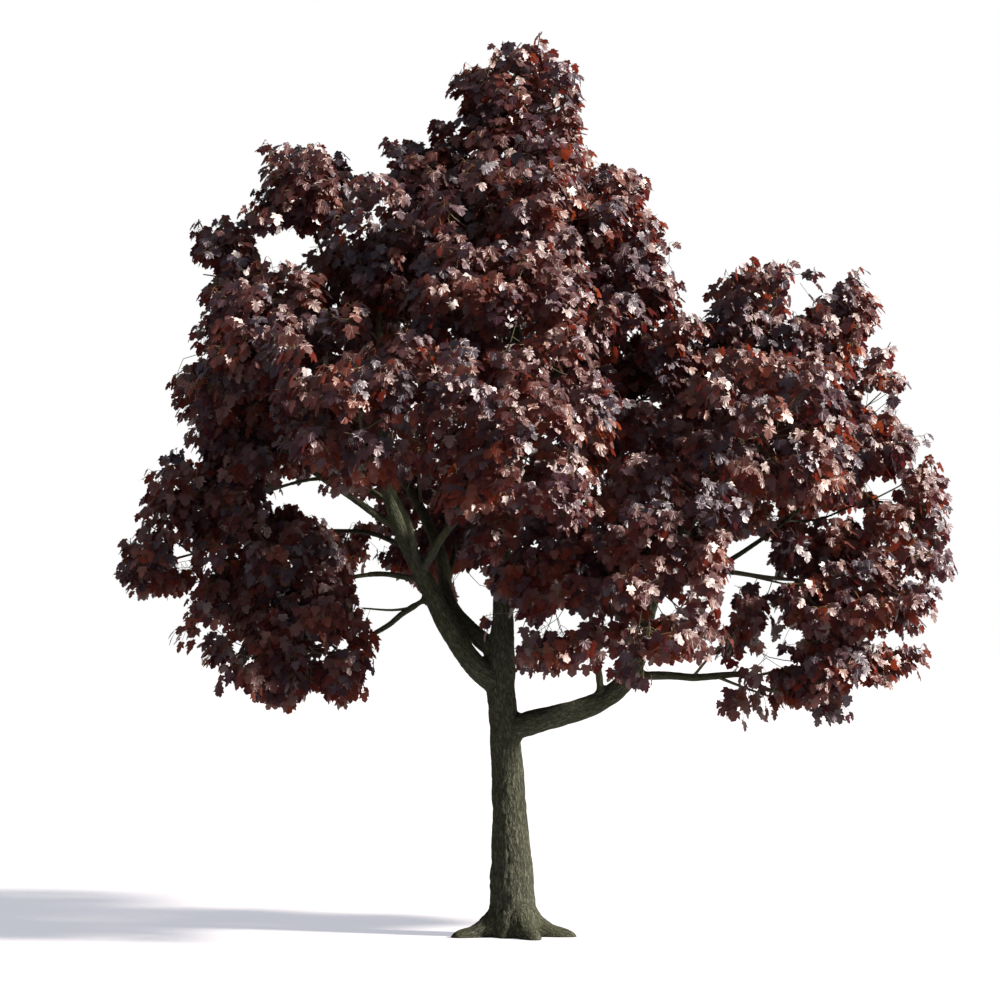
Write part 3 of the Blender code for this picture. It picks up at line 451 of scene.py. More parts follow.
def spread_directions(count):
    """Unit directions spread evenly over a sphere, turning by the golden angle."""
    for k in range(count):
        height = 1 - (2 * k + 1) / count
        ring = math.sqrt(1 - height ** 2)
        yield Vector((ring * math.cos(k * GOLDEN_ANGLE), ring * math.sin(k * GOLDEN_ANGLE), height))


def surface_area(radii):
    """Area of an egg shape (Thomsen's formula)."""
    power = 1.6
    a, b, c = (radius ** power for radius in radii)
    return 4 * math.pi * ((a * b + a * c + b * c) / 3) ** (1 / power)


def masses_near(name):
    """The middle and radii of a mass and of all those that may touch it."""
    middle = Vector(MASSES[name].middle)
    return [(Vector(mass.middle), mass.radii) for mass in MASSES.values()
            if (Vector(mass.middle) - middle).length < NEAR]


def crown_reach(space, direction, near):
    """Distance from the middle of a space to the crown's surface, which bridges grooves between masses."""
    inside, outside = reach(space, direction), reach(space, direction, GROOVE_SWELL)
    if outside > inside:
        for _ in range(HALVINGS):
            halfway = (inside + outside) / 2
            point = space.middle + halfway * direction
            if sum(math.exp(BLEND * (1 - fill(point - middle, radii))) for middle, radii in near) > 1:
                inside = halfway
            else:
                outside = halfway
    return inside


# ---------------------------------------------------------------- growth of twigs and sprays

Spray = namedtuple("Spray", "tip onward outward tint")
Leaf = namedtuple("Leaf", "node bend base along facing size form tint")
# what of a leaf is kept on its point, and as what kind of value
LEAF_FIELDS = {"along": "FLOAT_VECTOR", "facing": "FLOAT_VECTOR", "size": "FLOAT", "form": "INT",
               "tint": "INT"}
CROWN_MIDDLE = Vector((0.0, 0.0, 5.2))

# branches of a mass
BRANCHES_PER_SQUARE_METRE = 0.8  # of the surface of a mass's space
FEWEST_BRANCHES = 5
BRANCH_SCATTER = 0.15  # random part of a branch's direction
BRANCH_FIRST = 0.35  # how far along the stem the first branch leaves, as a share
BRANCH_REACH = 0.62  # where a branch ends, as a share of the way to the edge of its space
BRANCH_SPREAD = (0.85, 1.10)  # least and most of that, as shares of it
BRANCH_WANDER = 0.05  # random part of its bend, as a share of its length
BRANCH_LIFT = 0.06  # how far its bend is lifted, as a share of its length
BRANCH_STEP = 0.10  # distance between its stations
BRANCH_RADIUS = 0.011
BRANCH_BEND_SHARE, BRANCH_END_SHARE = 0.75, 0.55  # its radius further on, as shares of that at its foot

# the crown's surface
BLEND = 4.5  # how readily neighbouring masses run into one surface: a lower number bridges wider grooves
GROOVE_SWELL = 1.25  # how much a mass may swell into a groove, as a share of its own form
NEAR = 2.7  # distance within which two masses may touch
HALVINGS = 5  # rounds of search for the surface
PARTED = 0.85  # masses are parted where the surface is nearer than this share of a mass's own form
PARTED_LOSS = 0.18  # share of clumps that are left out there
EDGE_WAVER = 0.9  # how far the edge of an opening wanders, as a share of its size
EDGE_WAVE = 0.13  # distance over which it wanders

# clumps of sprays, each on a twig
CLUMP_SCATTER = 0.10  # random part of the direction in which a clump stands
NEARLY_UPRIGHT = 0.95  # upward part of a clump's direction from which its tier is turned from sideways
CLUMP_SPRAYS = 5
CLUMP_WIDTH = 0.26  # from the middle of a clump to its outermost spray
CLUMP_SPREAD = (0.85, 1.15)  # least and most of a spray's distance, as shares of it
CLUMP_FLATNESS = 0.55  # height of a clump for its width
CLUMP_BOW = 1.3  # how fast its rim bows down, per metre
CLUMP_DEPTH = 0.15  # from its middle back to the end of its twig
CLUMP_INSET = 0.03  # how far inside the edge of its mass the outermost clump stands
RAGGED = 0.36  # how much deeper than that others stand at most
INNER_CLUMPS = 0.25  # share of clumps that are set deep inside a mass
INNER_NEAREST, INNER_SPAN = 0.35, 0.35  # shares of the way to the edge: to the nearest, and on to the last
LEAST_DISTANCE = 0.05  # from the middle of a mass to a clump
TWIG_LENGTH = 0.16  # wood at this distance is the first choice for a twig to spring from
TWIG_STEP = 0.16  # distance between its stations
INWARD = 0.5  # how strongly it prefers wood near the middle of its mass
TWIG_BEND = 0.55  # where it bends, as a share of its length
TWIG_SAG = 0.10  # how far its bend sags, as a share of its length
TWIG_WANDER = 0.04  # random part of its bend, as a share of its length
TWIG_RADIUS = 0.0055
TWIG_LEAST, TWIG_THICKENING = 0.8, 0.5  # shares of that for a twig of no length, and more for each metre
SHOOT_RADIUS = 0.0036
SHOOT_END_RADIUS = 0.0026
SHOOT_OUTWARD = 0.5  # how strongly shoots head away from their mass, against 1 for straight to the spray
SHOOT_SCATTER = 0.15  # random part of a shoot's direction
FROM_MASS, FROM_CROWN = 0.6, 0.5  # how strongly a spray faces away from its mass and from the crown
SPRAY_SCATTER = 0.25  # random part of the side that a spray faces
SPRAY_RISE = 0.07  # how far the tip of a spray stands above its middle, as its leaves hang

# leaves of a spray, in pairs from the end of its shoot backwards: "more" is for each pair further back
STEEP = 0.9  # upward part of a shoot's direction from which its leaves are turned from sideways
LEAVES_LOST = 0.08  # share of leaves that have dropped
NODE_GAP = 0.042  # between two pairs on a shoot
PAIR_TWIST = 0.25  # random turn of a leaf round its shoot, in radians
SPREAD_ANGLE, SPREAD_MORE, SPREAD_SCATTER = 34, 13, 7  # of a stalk from its shoot, in degrees
STALK_LENGTH, STALK_MORE = 0.070, 0.018
STALK_SPREAD = (0.80, 1.25)  # least and most, as shares of it
STALK_BEND = 0.60  # how far out it bends, as a share of its length
STALK_OUT, STALK_DOWN = 0.92, 0.38  # where it ends, as shares of its length
BLADE_SHARE, BLADE_MORE = 0.78, 0.08  # of a large leaf's length
BLADE_SPREAD = (0.88, 1.10)  # least and most, as shares of that
ARCHED_PAIRS = 1  # pairs at the end of a shoot whose stalks are arched, as the others hardly show
# which way a blade points: down, on from its stalk, and out with its spray, with a random part
HANG, BLADE_ONWARD, BLADE_OUTWARD, BLADE_SCATTER = (0.55, 1.10), 0.45, 0.25, 0.18
# which way it faces: on from its stalk, out with its spray, and up, with a random part
FACE_ONWARD, FACE_OUTWARD, FACE_UP, FACE_SCATTER = 0.75, 0.50, 0.30, 0.34

# sprays on a branchlet
BRANCHLET_SCATTER = 0.4  # random part of a shoot's direction
BRANCHLET_SHOOT = 0.06  # length of the shoots along its side


def jitter(rng, size):
    """A random offset of about a size in every direction."""
    return Vector((rng.gauss(0, size), rng.gauss(0, size), rng.gauss(0, size)))


def across(vector, axis):
    """The part of a vector that is square to an axis, at unit length."""
    return (vector - vector.dot(axis) * axis).normalized()


def upright_across(axis, limit):
    """The direction nearest to upright that is square to an axis, or nearest to sideways past a limit."""
    return across(UP if abs(axis.z) < limit else SIDEWAYS, axis)


def in_opening(point):
    """Whether a point, seen from the front, stands in one of the crown's openings."""
    seen = EYE + (point - EYE) * (-EYE.y / (point.y - EYE.y))
    ragged = 1 + EDGE_WAVER * noise.noise(Vector((seen.x, 0, seen.z)) / EDGE_WAVE)
    for x, height, half_width, half_height in OPENINGS:
        if ((seen.x - x) / half_width) ** 2 + ((seen.z - height) / half_height) ** 2 < ragged:
            return True
    return False


def clump_tips(middle, direction, rng):
    """Where the sprays of a clump have their tips: side by side in a flat tier, its rim bowed down."""
    level = upright_across(direction, NEARLY_UPRIGHT)
    side = direction.cross(level)
    turn = rng.uniform(0, 2 * math.pi)
    for k in range(CLUMP_SPRAYS):
        angle = turn + k * GOLDEN_ANGLE
        away = CLUMP_WIDTH * math.sqrt((k + 0.5) / CLUMP_SPRAYS) * rng.uniform(*CLUMP_SPREAD)
        offset = away * (math.cos(angle) * side + math.sin(angle) * level)
        offset.z = CLUMP_FLATNESS * offset.z - CLUMP_BOW * away ** 2
        yield middle + offset


def grow_branches(space, stem, rng):
    """The branches of a mass, from its stem out towards all sides of its space."""
    onward = (space.middle - stem[0].xyz).normalized()
    count = max(FEWEST_BRANCHES, round(BRANCHES_PER_SQUARE_METRE * surface_area(space.radii)))
    branches = []
    for direction in spread_directions(count):
        direction = (direction + jitter(rng, BRANCH_SCATTER)).normalized()
        share = BRANCH_FIRST + (1 - BRANCH_FIRST) * (0.5 + 0.5 * direction.dot(onward))
        start = stem[round(share * (len(stem) - 1))]
        far = BRANCH_REACH * rng.uniform(*BRANCH_SPREAD) * reach(space, direction)
        end = space.middle + far * direction
        length = (end - start.xyz).length
        bend = start.xyz.lerp(end, 0.5) + jitter(rng, BRANCH_WANDER * length) + BRANCH_LIFT * length * UP
        foot = min(BRANCH_RADIUS, SLIMMER * start.w)
        stations = [Vector((*start.xyz, foot)), Vector((*bend, BRANCH_BEND_SHARE * foot)),
                    Vector((*end, BRANCH_END_SHARE * foot))]
        branches.append(smooth_path(stations, BRANCH_STEP))
    return branches


def clump_distance(space, direction, near, rng):
    """How far from the middle of its mass a clump stands, or None where it is left out to part masses."""
    edge = crown_reach(space, direction, near)
    is_parted = edge < PARTED / fill(direction, space.radii)
    inner_draw, lost_draw, depth = (rng.random() for _ in range(3))
    if is_parted and lost_draw < PARTED_LOSS:
        return None
    if inner_draw < INNER_CLUMPS:
        return edge * (INNER_NEAREST + INNER_SPAN * depth)
    return edge - CLUMP_INSET - RAGGED * depth


def twig_stations(root, wood, space, rng):
    """A twig to the root of a clump, from the wood of its mass that is near enough and well inside."""
    _, path, k = min(wood, key=lambda item: abs((item[0].xyz - root).length - TWIG_LENGTH)
                     + INWARD * (item[0].xyz - space.middle).length)
    start = path[max(0, k - 1)]
    length = (root - start.xyz).length
    bend = start.xyz.lerp(root, TWIG_BEND) - TWIG_SAG * length * UP + jitter(rng, TWIG_WANDER * length)
    foot = min(TWIG_RADIUS * (TWIG_LEAST + TWIG_THICKENING * length), SLIMMER * start.w)
    return [Vector((*start.xyz, foot)), Vector((*bend, (foot + SHOOT_RADIUS) / 2)),
            Vector((*root, SHOOT_RADIUS))]


def grow_clump(middle, direction, root, rng):
    """The shoots and sprays of one clump, without those that would stand in an opening."""
    shoots, sprays = [], []
    for tip in clump_tips(middle, direction, rng):
        if in_opening(tip):
            continue
        tip = tip + SPRAY_RISE * UP
        onward = (tip - root).normalized() + SHOOT_OUTWARD * direction + jitter(rng, SHOOT_SCATTER)
        shoots.append([Vector((*root, SHOOT_RADIUS)), Vector((*tip, SHOOT_END_RADIUS))])
        from_crown = (tip - CROWN_MIDDLE).normalized()
        outward = FROM_MASS * direction + FROM_CROWN * from_crown + jitter(rng, SPRAY_SCATTER)
        tint = rng.choices(range(len(TINTS)), [each.share for each in TINTS])[0]
        sprays.append(Spray(tip, onward.normalized(), outward.normalized(), tint))
    return shoots, sprays


def grow_mass(name, settings):
    """The stem, branches, twigs and sprays of one mass."""
    rng = random.Random(name)
    space = space_of(name)
    stem = stem_path(MASSES[name], limb_paths()[MASSES[name].carrier])
    branches = grow_branches(space, stem, rng)
    twigs, sprays = [], []
    wood = [(station, path, k) for path in [*branches, stem] for k, station in enumerate(path) if k > 1]
    near = masses_near(name)
    count = round(settings.sprays_per_square_metre * surface_area(space.radii) / CLUMP_SPRAYS)
    for direction in spread_directions(count):
        direction = (direction + jitter(rng, CLUMP_SCATTER)).normalized()
        distance = clump_distance(space, direction, near, rng)
        if distance is None:
            continue
        middle = space.middle + max(distance, LEAST_DISTANCE) * direction
        root = middle - CLUMP_DEPTH * direction
        twig = twig_stations(root, wood, space, rng)
        shoots, clump = grow_clump(middle, direction, root, rng)
        if shoots:
            twigs += [smooth_path(twig, TWIG_STEP), *shoots]
        sprays += clump
    return stem, branches, twigs, sprays


def grow_spray(spray, settings, rng):
    """The leaves of one spray: pairs round the end of its shoot, each hanging from its stalk."""
    leaves = []
    side = upright_across(spray.onward, STEEP)
    other = spray.onward.cross(side)
    turn = rng.uniform(0, math.pi)
    for index in range(settings.leaves_per_spray):
        pair, half = divmod(index, 2)
        if rng.random() < LEAVES_LOST:
            continue
        spin = turn + pair * math.pi / 2 + half * math.pi + rng.gauss(0, PAIR_TWIST)
        radial = math.cos(spin) * side + math.sin(spin) * other
        node = spray.tip - pair * NODE_GAP * spray.onward
        spread = math.radians(SPREAD_ANGLE + SPREAD_MORE * pair + rng.gauss(0, SPREAD_SCATTER))
        heading = math.cos(spread) * spray.onward + math.sin(spread) * radial
        stalk = (STALK_LENGTH + STALK_MORE * pair) * rng.uniform(*STALK_SPREAD)
        bend = node + STALK_BEND * stalk * heading if pair < ARCHED_PAIRS else None
        base = node + stalk * (STALK_OUT * heading - STALK_DOWN * UP)
        length = settings.leaf_length * (BLADE_SHARE + BLADE_MORE * pair) * rng.uniform(*BLADE_SPREAD)
        flat = Vector((heading.x, heading.y, 0))
        along = -UP * rng.uniform(*HANG) + BLADE_ONWARD * flat + BLADE_OUTWARD * spray.outward
        along = (along + jitter(rng, BLADE_SCATTER)).normalized()
        face = FACE_ONWARD * flat + FACE_OUTWARD * spray.outward + FACE_UP * UP
        facing = across(face + jitter(rng, FACE_SCATTER), along)
        if in_opening(base + length / 2 * along):
            continue
        form = rng.randrange(len(LEAF_FORMS))
        leaves.append(Leaf(node, bend, base, along, facing, length, form, spray.tint))
    return leaves


def grow_branchlets(settings, rng):
    """The leaves of the sprays along the outer half of every branchlet."""
    leaves = []
    for path, branchlet in zip(branchlet_paths(), BRANCHLETS):
        for number in range(branchlet.sprays):
            station = path[-1 - round(0.5 * len(path) * number / branchlet.sprays)]
            onward = (path[-1].xyz - path[-3].xyz).normalized()
            onward = (onward + jitter(rng, BRANCHLET_SCATTER)).normalized()
            # the first one is on the branchlet's own end
            tip = station.xyz + BRANCHLET_SHOOT * onward * (number > 0)
            spray = Spray(tip, onward, (tip - CROWN_MIDDLE).normalized(), number % len(TINTS))
            leaves += grow_spray(spray, settings, rng)
    return leaves


@functools.cache
def grow_crown(settings):
    """Stems, branches, twigs and leaves of every mass."""
    woods, twigs = [], []
    leaves = grow_branchlets(settings, random.Random("branchlets"))
    for name in MASSES:
        stem, branches, fine, sprays = grow_mass(name, settings)
        woods += [stem, *branches]
        twigs += fine
        rng = random.Random(f"{name} sprays")
        for spray in sprays:
            leaves += grow_spray(spray, settings, rng)
    return woods, twigs, leaves


# ---------------------------------------------------------------- colours and nodes

# Leaf tints: name, colour of the blade, of the light through it and of its gloss, and share of the sprays.
Tint = namedtuple("Tint", "name blade through sheen share")
TINTS = [
    Tint("wine", "#3a0c14", "#b0402a", "#fff0ee", 0.26),
    Tint("plum", "#2d0b1e", "#8e3030", "#fcecf4", 0.24),
    Tint("maroon", "#410e10", "#c04c2a", "#fff2ee", 0.20),
    Tint("russet", "#581a0f", "#d86236", "#fff2ea", 0.12),
    Tint("dusk", "#1b0c1e", "#702a34", "#f2ecf8", 0.18),
]


def linear(hex_colour):
    """An sRGB hex colour as linear red, green, blue and alpha."""
    channels = [int(hex_colour[k:k + 2], 16) / 255 for k in (1, 3, 5)]
    return (*(c / 12.92 if c <= 0.04045 else ((c + 0.055) / 1.055) ** 2.4 for c in channels), 1.0)


def add_node(tree, kind, settings=None, **links):
    """Add a node with its settings, and give its inputs values or link them to what other nodes give.

    An input is named by its identifier with spaces as underscores. It takes a plain value, a socket of
    another node, or another node, which means the first socket in use on that.
    """
    node = tree.nodes.new(kind)
    for key, value in (settings or {}).items():
        setattr(node, key, value)
    for key, value in links.items():
        socket = next(s for s in node.inputs if s.identifier.replace(" ", "_") == key)
        if isinstance(value, bpy.types.Node):
            value = next(s for s in value.outputs if s.enabled)
        if isinstance(value, bpy.types.NodeSocket):
            tree.links.new(value, socket)
        else:
            socket.default_value = value
    return node


def new_material(name):
    """An empty node material with its output."""
    material = bpy.data.materials.new(name)
    material.use_nodes = True
    material.node_tree.nodes.clear()
    return material, material.node_tree


def add_group_input(tree, name, kind, default=None, low=None, high=None):
    """A named input of a Geometry Nodes tree."""
    socket = tree.interface.new_socket(name, in_out="INPUT", socket_type=f"NodeSocket{kind}")
    if default is not None:
        socket.default_value = default
    if low is not None:
        socket.min_value, socket.max_value = low, high
    return socket


def new_group(name):
    """An empty Geometry Nodes tree that takes and gives a geometry."""
    tree = bpy.data.node_groups.new(name, "GeometryNodeTree")
    add_group_input(tree, "Geometry", "Geometry")
    tree.interface.new_socket("Geometry", in_out="OUTPUT", socket_type="NodeSocketGeometry")
    return tree


def end_group(tree, source, geometry):
    """End a tree as every one here ends: instances made real and one material set."""
    real = add_node(tree, "GeometryNodeRealizeInstances", Geometry=geometry)
    painted = add_node(tree, "GeometryNodeSetMaterial", Geometry=real,
                       Material=source.outputs["Material"])
    add_node(tree, "NodeGroupOutput", **{"Socket_1": painted})


def add_object(name, data):
    """A new object in the scene."""
    obj = bpy.data.objects.new(name, data)
    bpy.context.scene.collection.objects.link(obj)
    return obj


def apply_tree(obj, tree, name, **values):
    """Run a Geometry Nodes tree on an object, which is replaced by a new one with a plain mesh."""
    modifier = obj.modifiers.new(tree.name, "NODES")
    modifier.node_group = tree
    sockets = {item.name: item.identifier for item in tree.interface.items_tree if item.in_out == "INPUT"}
    for key, value in values.items():
        modifier[sockets[key.replace("_", " ")]] = value
    mesh = evaluated_mesh(obj)
    if "Material" in values:
        mesh.materials.clear()
        mesh.materials.append(values["Material"])
        mesh.polygons.foreach_set("material_index", [0] * len(mesh.polygons))
    mesh.name = name
    result = add_object(name, mesh)
    remove(obj)
    return result


def evaluated_mesh(obj):
    """A new mesh of an object with its modifiers applied."""
    depsgraph = bpy.context.evaluated_depsgraph_get()
    return bpy.data.meshes.new_from_object(obj.evaluated_get(depsgraph))


def remove(obj):
    """Remove an object and its mesh."""
    mesh = obj.data
    bpy.data.objects.remove(obj)
    bpy.data.meshes.remove(mesh)


def hold(piece, nodes=()):
    """Fix a finished piece to the tree's one body and the nodes it replaces."""
    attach(piece, "root")
    if nodes:
        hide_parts(*nodes)


# ---------------------------------------------------------------- Geometry Nodes trees

@functools.cache
def tube_tree():
    """Round limbs along chains of edges, as thick as the radius kept on their points."""
    tree = new_group("Round limbs")
    add_group_input(tree, "Sides", "Int", default=6, low=3, high=32)
    add_group_input(tree, "Caps", "Bool", False)
    add_group_input(tree, "Material", "Material")
    source = add_node(tree, "NodeGroupInput")
    curves = add_node(tree, "GeometryNodeMeshToCurve", Mesh=source.outputs["Geometry"])
    radius = add_node(tree, "GeometryNodeInputNamedAttribute", {"data_type": "FLOAT"}, Name="girth")
    ring = add_node(tree, "GeometryNodeCurvePrimitiveCircle", Resolution=source.outputs["Sides"],
                    Radius=1.0)
    tubes = add_node(tree, "GeometryNodeCurveToMesh", Curve=curves, Profile_Curve=ring, Scale=radius,
                     Fill_Caps=source.outputs["Caps"])
    smooth = add_node(tree, "GeometryNodeSetShadeSmooth", Geometry=tubes)
    end_group(tree, source, smooth)
    return tree


@functools.cache
def leaf_tree():
    """A leaf on every point of one tint, turned by the point's own along and facing directions."""
    tree = new_group("Leaves on stalks")
    add_group_input(tree, "Leaf Forms", "Collection")
    add_group_input(tree, "Tint", "Int", default=0, low=0, high=20)
    add_group_input(tree, "Material", "Material")
    source = add_node(tree, "NodeGroupInput")
    own = {name: add_node(tree, "GeometryNodeInputNamedAttribute", {"data_type": kind}, Name=name)
           for name, kind in LEAF_FIELDS.items()}
    forms = add_node(tree, "GeometryNodeCollectionInfo", Collection=source.outputs["Leaf Forms"],
                     Separate_Children=True, Reset_Children=True)
    same = add_node(tree, "FunctionNodeCompare", {"data_type": "INT", "operation": "EQUAL"},
                    A_INT=own["tint"], B_INT=source.outputs["Tint"])
    turn = add_node(tree, "FunctionNodeAxesToRotation", {"primary_axis": "Y", "secondary_axis": "Z"},
                    Primary_Axis=own["along"], Secondary_Axis=own["facing"])
    leaves = add_node(tree, "GeometryNodeInstanceOnPoints", Points=source.outputs["Geometry"],
                      Selection=same, Instance=forms, Pick_Instance=True, Instance_Index=own["form"],
                      Rotation=turn, Scale=own["size"])
    end_group(tree, source, leaves)
    return tree


@functools.cache
def bark_tree():
    """Bark relief on a skin: furrows along the grain, finer cracks, and the slow swell of old wood."""
    tree = new_group("Bark relief")
    for name, default, low, high in (
            ("Furrow Depth", 0.008, 0.0, 0.1), ("Furrow Width", 0.03, 0.001, 1.0),
            ("Furrow Length", 0.14, 0.001, 2.0), ("Swell", 0.012, 0.0, 0.1)):
        add_group_input(tree, name, "Float", default, low, high)
    add_group_input(tree, "Material", "Material")
    source = add_node(tree, "NodeGroupInput")
    grain = add_node(tree, "GeometryNodeInputNamedAttribute", {"data_type": "FLOAT_VECTOR"}, Name="grain")
    girth = add_node(tree, "GeometryNodeInputNamedAttribute", {"data_type": "FLOAT"}, Name="girth")
    # each cell of the pattern is a ridge and its wavering edge a furrow, with sides 0.3 of its width wide
    size = add_node(tree, "ShaderNodeCombineXYZ", X=source.outputs["Furrow Width"],
                    Y=source.outputs["Furrow Width"], Z=source.outputs["Furrow Length"])
    place = add_node(tree, "ShaderNodeVectorMath", {"operation": "DIVIDE"}, Vector=grain, Vector_001=size)
    bent = add_node(tree, "ShaderNodeTexNoise", Vector=place, Scale=0.7, Detail=2.0)
    shift = add_node(tree, "ShaderNodeVectorMath", {"operation": "MULTIPLY_ADD"},
                     Vector=bent.outputs["Color"], Vector_001=(1.1, 1.1, 1.1), Vector_002=place)
    cells = add_node(tree, "ShaderNodeTexVoronoi", {"feature": "DISTANCE_TO_EDGE"}, Vector=shift, Scale=1.0)
    ridge = add_node(tree, "ShaderNodeMapRange", {"interpolation_type": "SMOOTHSTEP"}, Value=cells,
                     From_Min=0.0, From_Max=0.30)
    # finer cracks, about half a furrow's width apart
    rough = add_node(tree, "ShaderNodeTexNoise", Vector=place, Scale=2.2, Detail=3.0)
    relief = add_node(tree, "ShaderNodeMath", {"operation": "ADD"}, Value=ridge, Value_001=rough)
    # less the height of most of the surface, so that the limbs keep their thickness
    level = add_node(tree, "ShaderNodeMath", {"operation": "SUBTRACT"}, Value=relief, Value_001=1.3)
    # limbs under 2 cm in radius have 15% of the depth, and the trunk all of it
    strength = add_node(tree, "ShaderNodeMapRange", Value=girth, From_Min=0.02, From_Max=0.16, To_Min=0.15)
    depth = add_node(tree, "ShaderNodeMath", {"operation": "MULTIPLY"},
                     Value=source.outputs["Furrow Depth"], Value_001=strength)
    # swells about 30 cm long, in proportion to the limb's thickness
    slow = add_node(tree, "ShaderNodeTexNoise", Vector=grain, Scale=3.2, Detail=1.5)
    wave = add_node(tree, "ShaderNodeMapRange", {"clamp": False}, Value=slow, To_Min=-6.0, To_Max=6.0)
    width = add_node(tree, "ShaderNodeMath", {"operation": "MULTIPLY"}, Value=source.outputs["Swell"],
                     Value_001=girth)
    swell = add_node(tree, "ShaderNodeMath", {"operation": "MULTIPLY"}, Value=wave, Value_001=width)
    offset = add_node(tree, "ShaderNodeMath", {"operation": "MULTIPLY_ADD"}, Value=level, Value_001=depth,
                      Value_002=swell)
    normal = add_node(tree, "GeometryNodeInputNormal")
    push = add_node(tree, "ShaderNodeVectorMath", {"operation": "SCALE"}, Vector=normal, Scale=offset)
    kept = add_node(tree, "GeometryNodeStoreNamedAttribute", {"data_type": "FLOAT", "domain": "POINT"},
                    Geometry=source.outputs["Geometry"], Name="ridge", Value=ridge)
    moved = add_node(tree, "GeometryNodeSetPosition", Geometry=kept, Offset=push)
    smooth = add_node(tree, "GeometryNodeSetShadeSmooth", Geometry=moved)
    end_group(tree, source, smooth)
    return tree


# ---------------------------------------------------------------- materials

def bark_material(settings):
    """Furrowed maple bark: grey-olive plates, fissures and furrows darkened with painted shade, and a green
    film of algae on thinner limbs.
    """
    material, tree = new_material("furrowed maple bark")
    ridge, grain, girth = (add_node(tree, "ShaderNodeAttribute", {"attribute_name": name})
                           for name in ("ridge", "grain", "girth"))
    place = add_node(tree, "ShaderNodeTexCoord")
    # plates about 30 mm wide and 90 mm long, with wavering sides, parted by fissures 6 mm wide to each side
    plate_size = add_node(tree, "ShaderNodeVectorMath", {"operation": "MULTIPLY"},
                          Vector=grain.outputs["Vector"], Vector_001=(34.0, 34.0, 11.0))
    waver = add_node(tree, "ShaderNodeTexNoise", Vector=plate_size, Scale=0.9, Detail=3.0, Roughness=0.6)
    bent = add_node(tree, "ShaderNodeVectorMath", {"operation": "MULTIPLY_ADD"},
                    Vector=waver.outputs["Color"], Vector_001=(1.6, 1.6, 1.6), Vector_002=plate_size)
    plates = add_node(tree, "ShaderNodeTexVoronoi", {"feature": "DISTANCE_TO_EDGE"}, Vector=bent, Scale=1.0)
    fissure = add_node(tree, "ShaderNodeMapRange", {"interpolation_type": "SMOOTHSTEP"}, Value=plates,
                       From_Min=0.0, From_Max=0.22)
    # flakes about 16 mm across and 50 mm long, coarser than life so that they show from afar
    fine_scale = add_node(tree, "ShaderNodeVectorMath", {"operation": "MULTIPLY"},
                          Vector=grain.outputs["Vector"], Vector_001=(1.0, 1.0, 0.3))
    flakes = add_node(tree, "ShaderNodeTexNoise", Vector=fine_scale, Scale=62.0, Detail=5.0, Roughness=0.75)
    # patches about 25 cm across
    patches = add_node(tree, "ShaderNodeTexNoise", Vector=place.outputs["Object"], Scale=4.0, Detail=5.0,
                       Roughness=0.65)
    # the fissures run deeper in some patches than in others, and carry more painted shade there
    open_share = add_node(tree, "ShaderNodeMapRange", Value=patches.outputs["Fac"], From_Min=0.35,
                          From_Max=0.65, To_Min=0.6, To_Max=1.0)
    fissure_relief_and_shade = add_node(tree, "ShaderNodeMix", {"data_type": "FLOAT"}, Factor_Float=open_share, A_Float=1.0,
                    B_Float=fissure)
    # painted shade: the real furrows of the skin are darkened too
    furrow_shade = add_node(tree, "ShaderNodeMapRange", Value=ridge.outputs["Fac"], From_Min=0.0, From_Max=1.0,
                      To_Min=0.62, To_Max=1.0)
    # painted shade: the deeper a fissure or furrow, the nearer the bark comes to the near-black furrow
    # colour
    height = add_node(tree, "ShaderNodeMath", {"operation": "MULTIPLY"}, Value=fissure_relief_and_shade, Value_001=furrow_shade)
    wood = add_node(tree, "ShaderNodeMix", {"data_type": "RGBA"}, Factor_Float=height,
                    A_Color=linear(settings.furrow_shade_colour), B_Color=linear(settings.ridge_colour))
    # flakes are from a fifth as bright as the wood to twice as bright
    flaky = add_node(tree, "ShaderNodeMapRange", Value=flakes.outputs["Fac"], From_Min=0.3, From_Max=0.7,
                     To_Min=0.22, To_Max=2.1)
    shaded = add_node(tree, "ShaderNodeMix", {"data_type": "RGBA", "blend_type": "MULTIPLY"},
                      Factor_Float=1.0, A_Color=wood, B_Color=flaky)
    # within the same patches the film hides limbs under 5 cm in radius, and a third of the trunk
    thin = add_node(tree, "ShaderNodeMapRange", Value=girth.outputs["Fac"], From_Min=0.05, From_Max=0.15,
                    To_Min=0.95, To_Max=0.30)
    film = add_node(tree, "ShaderNodeMapRange", Value=patches.outputs["Fac"], From_Min=0.35, From_Max=0.62)
    share = add_node(tree, "ShaderNodeMath", {"operation": "MULTIPLY"}, Value=thin, Value_001=film)
    green = add_node(tree, "ShaderNodeMix", {"data_type": "RGBA", "blend_type": "MULTIPLY"},
                     Factor_Float=1.0, A_Color=flaky, B_Color=linear(settings.algae_colour))
    colour = add_node(tree, "ShaderNodeMix", {"data_type": "RGBA"}, Factor_Float=share,
                      A_Color=shaded, B_Color=green)
    # relief too fine for the skin: plates 8 mm thick, with flakes on them
    relief = add_node(tree, "ShaderNodeMath", {"operation": "MULTIPLY_ADD"}, Value=flakes.outputs["Fac"],
                      Value_001=0.6, Value_002=fissure_relief_and_shade)
    bump = add_node(tree, "ShaderNodeBump", Height=relief, Strength=0.9, Distance=0.008)
    shader = add_node(tree, "ShaderNodeBsdfPrincipled", Base_Color=colour, Roughness=0.88, Normal=bump)
    add_node(tree, "ShaderNodeOutputMaterial", Surface=shader)
    return material


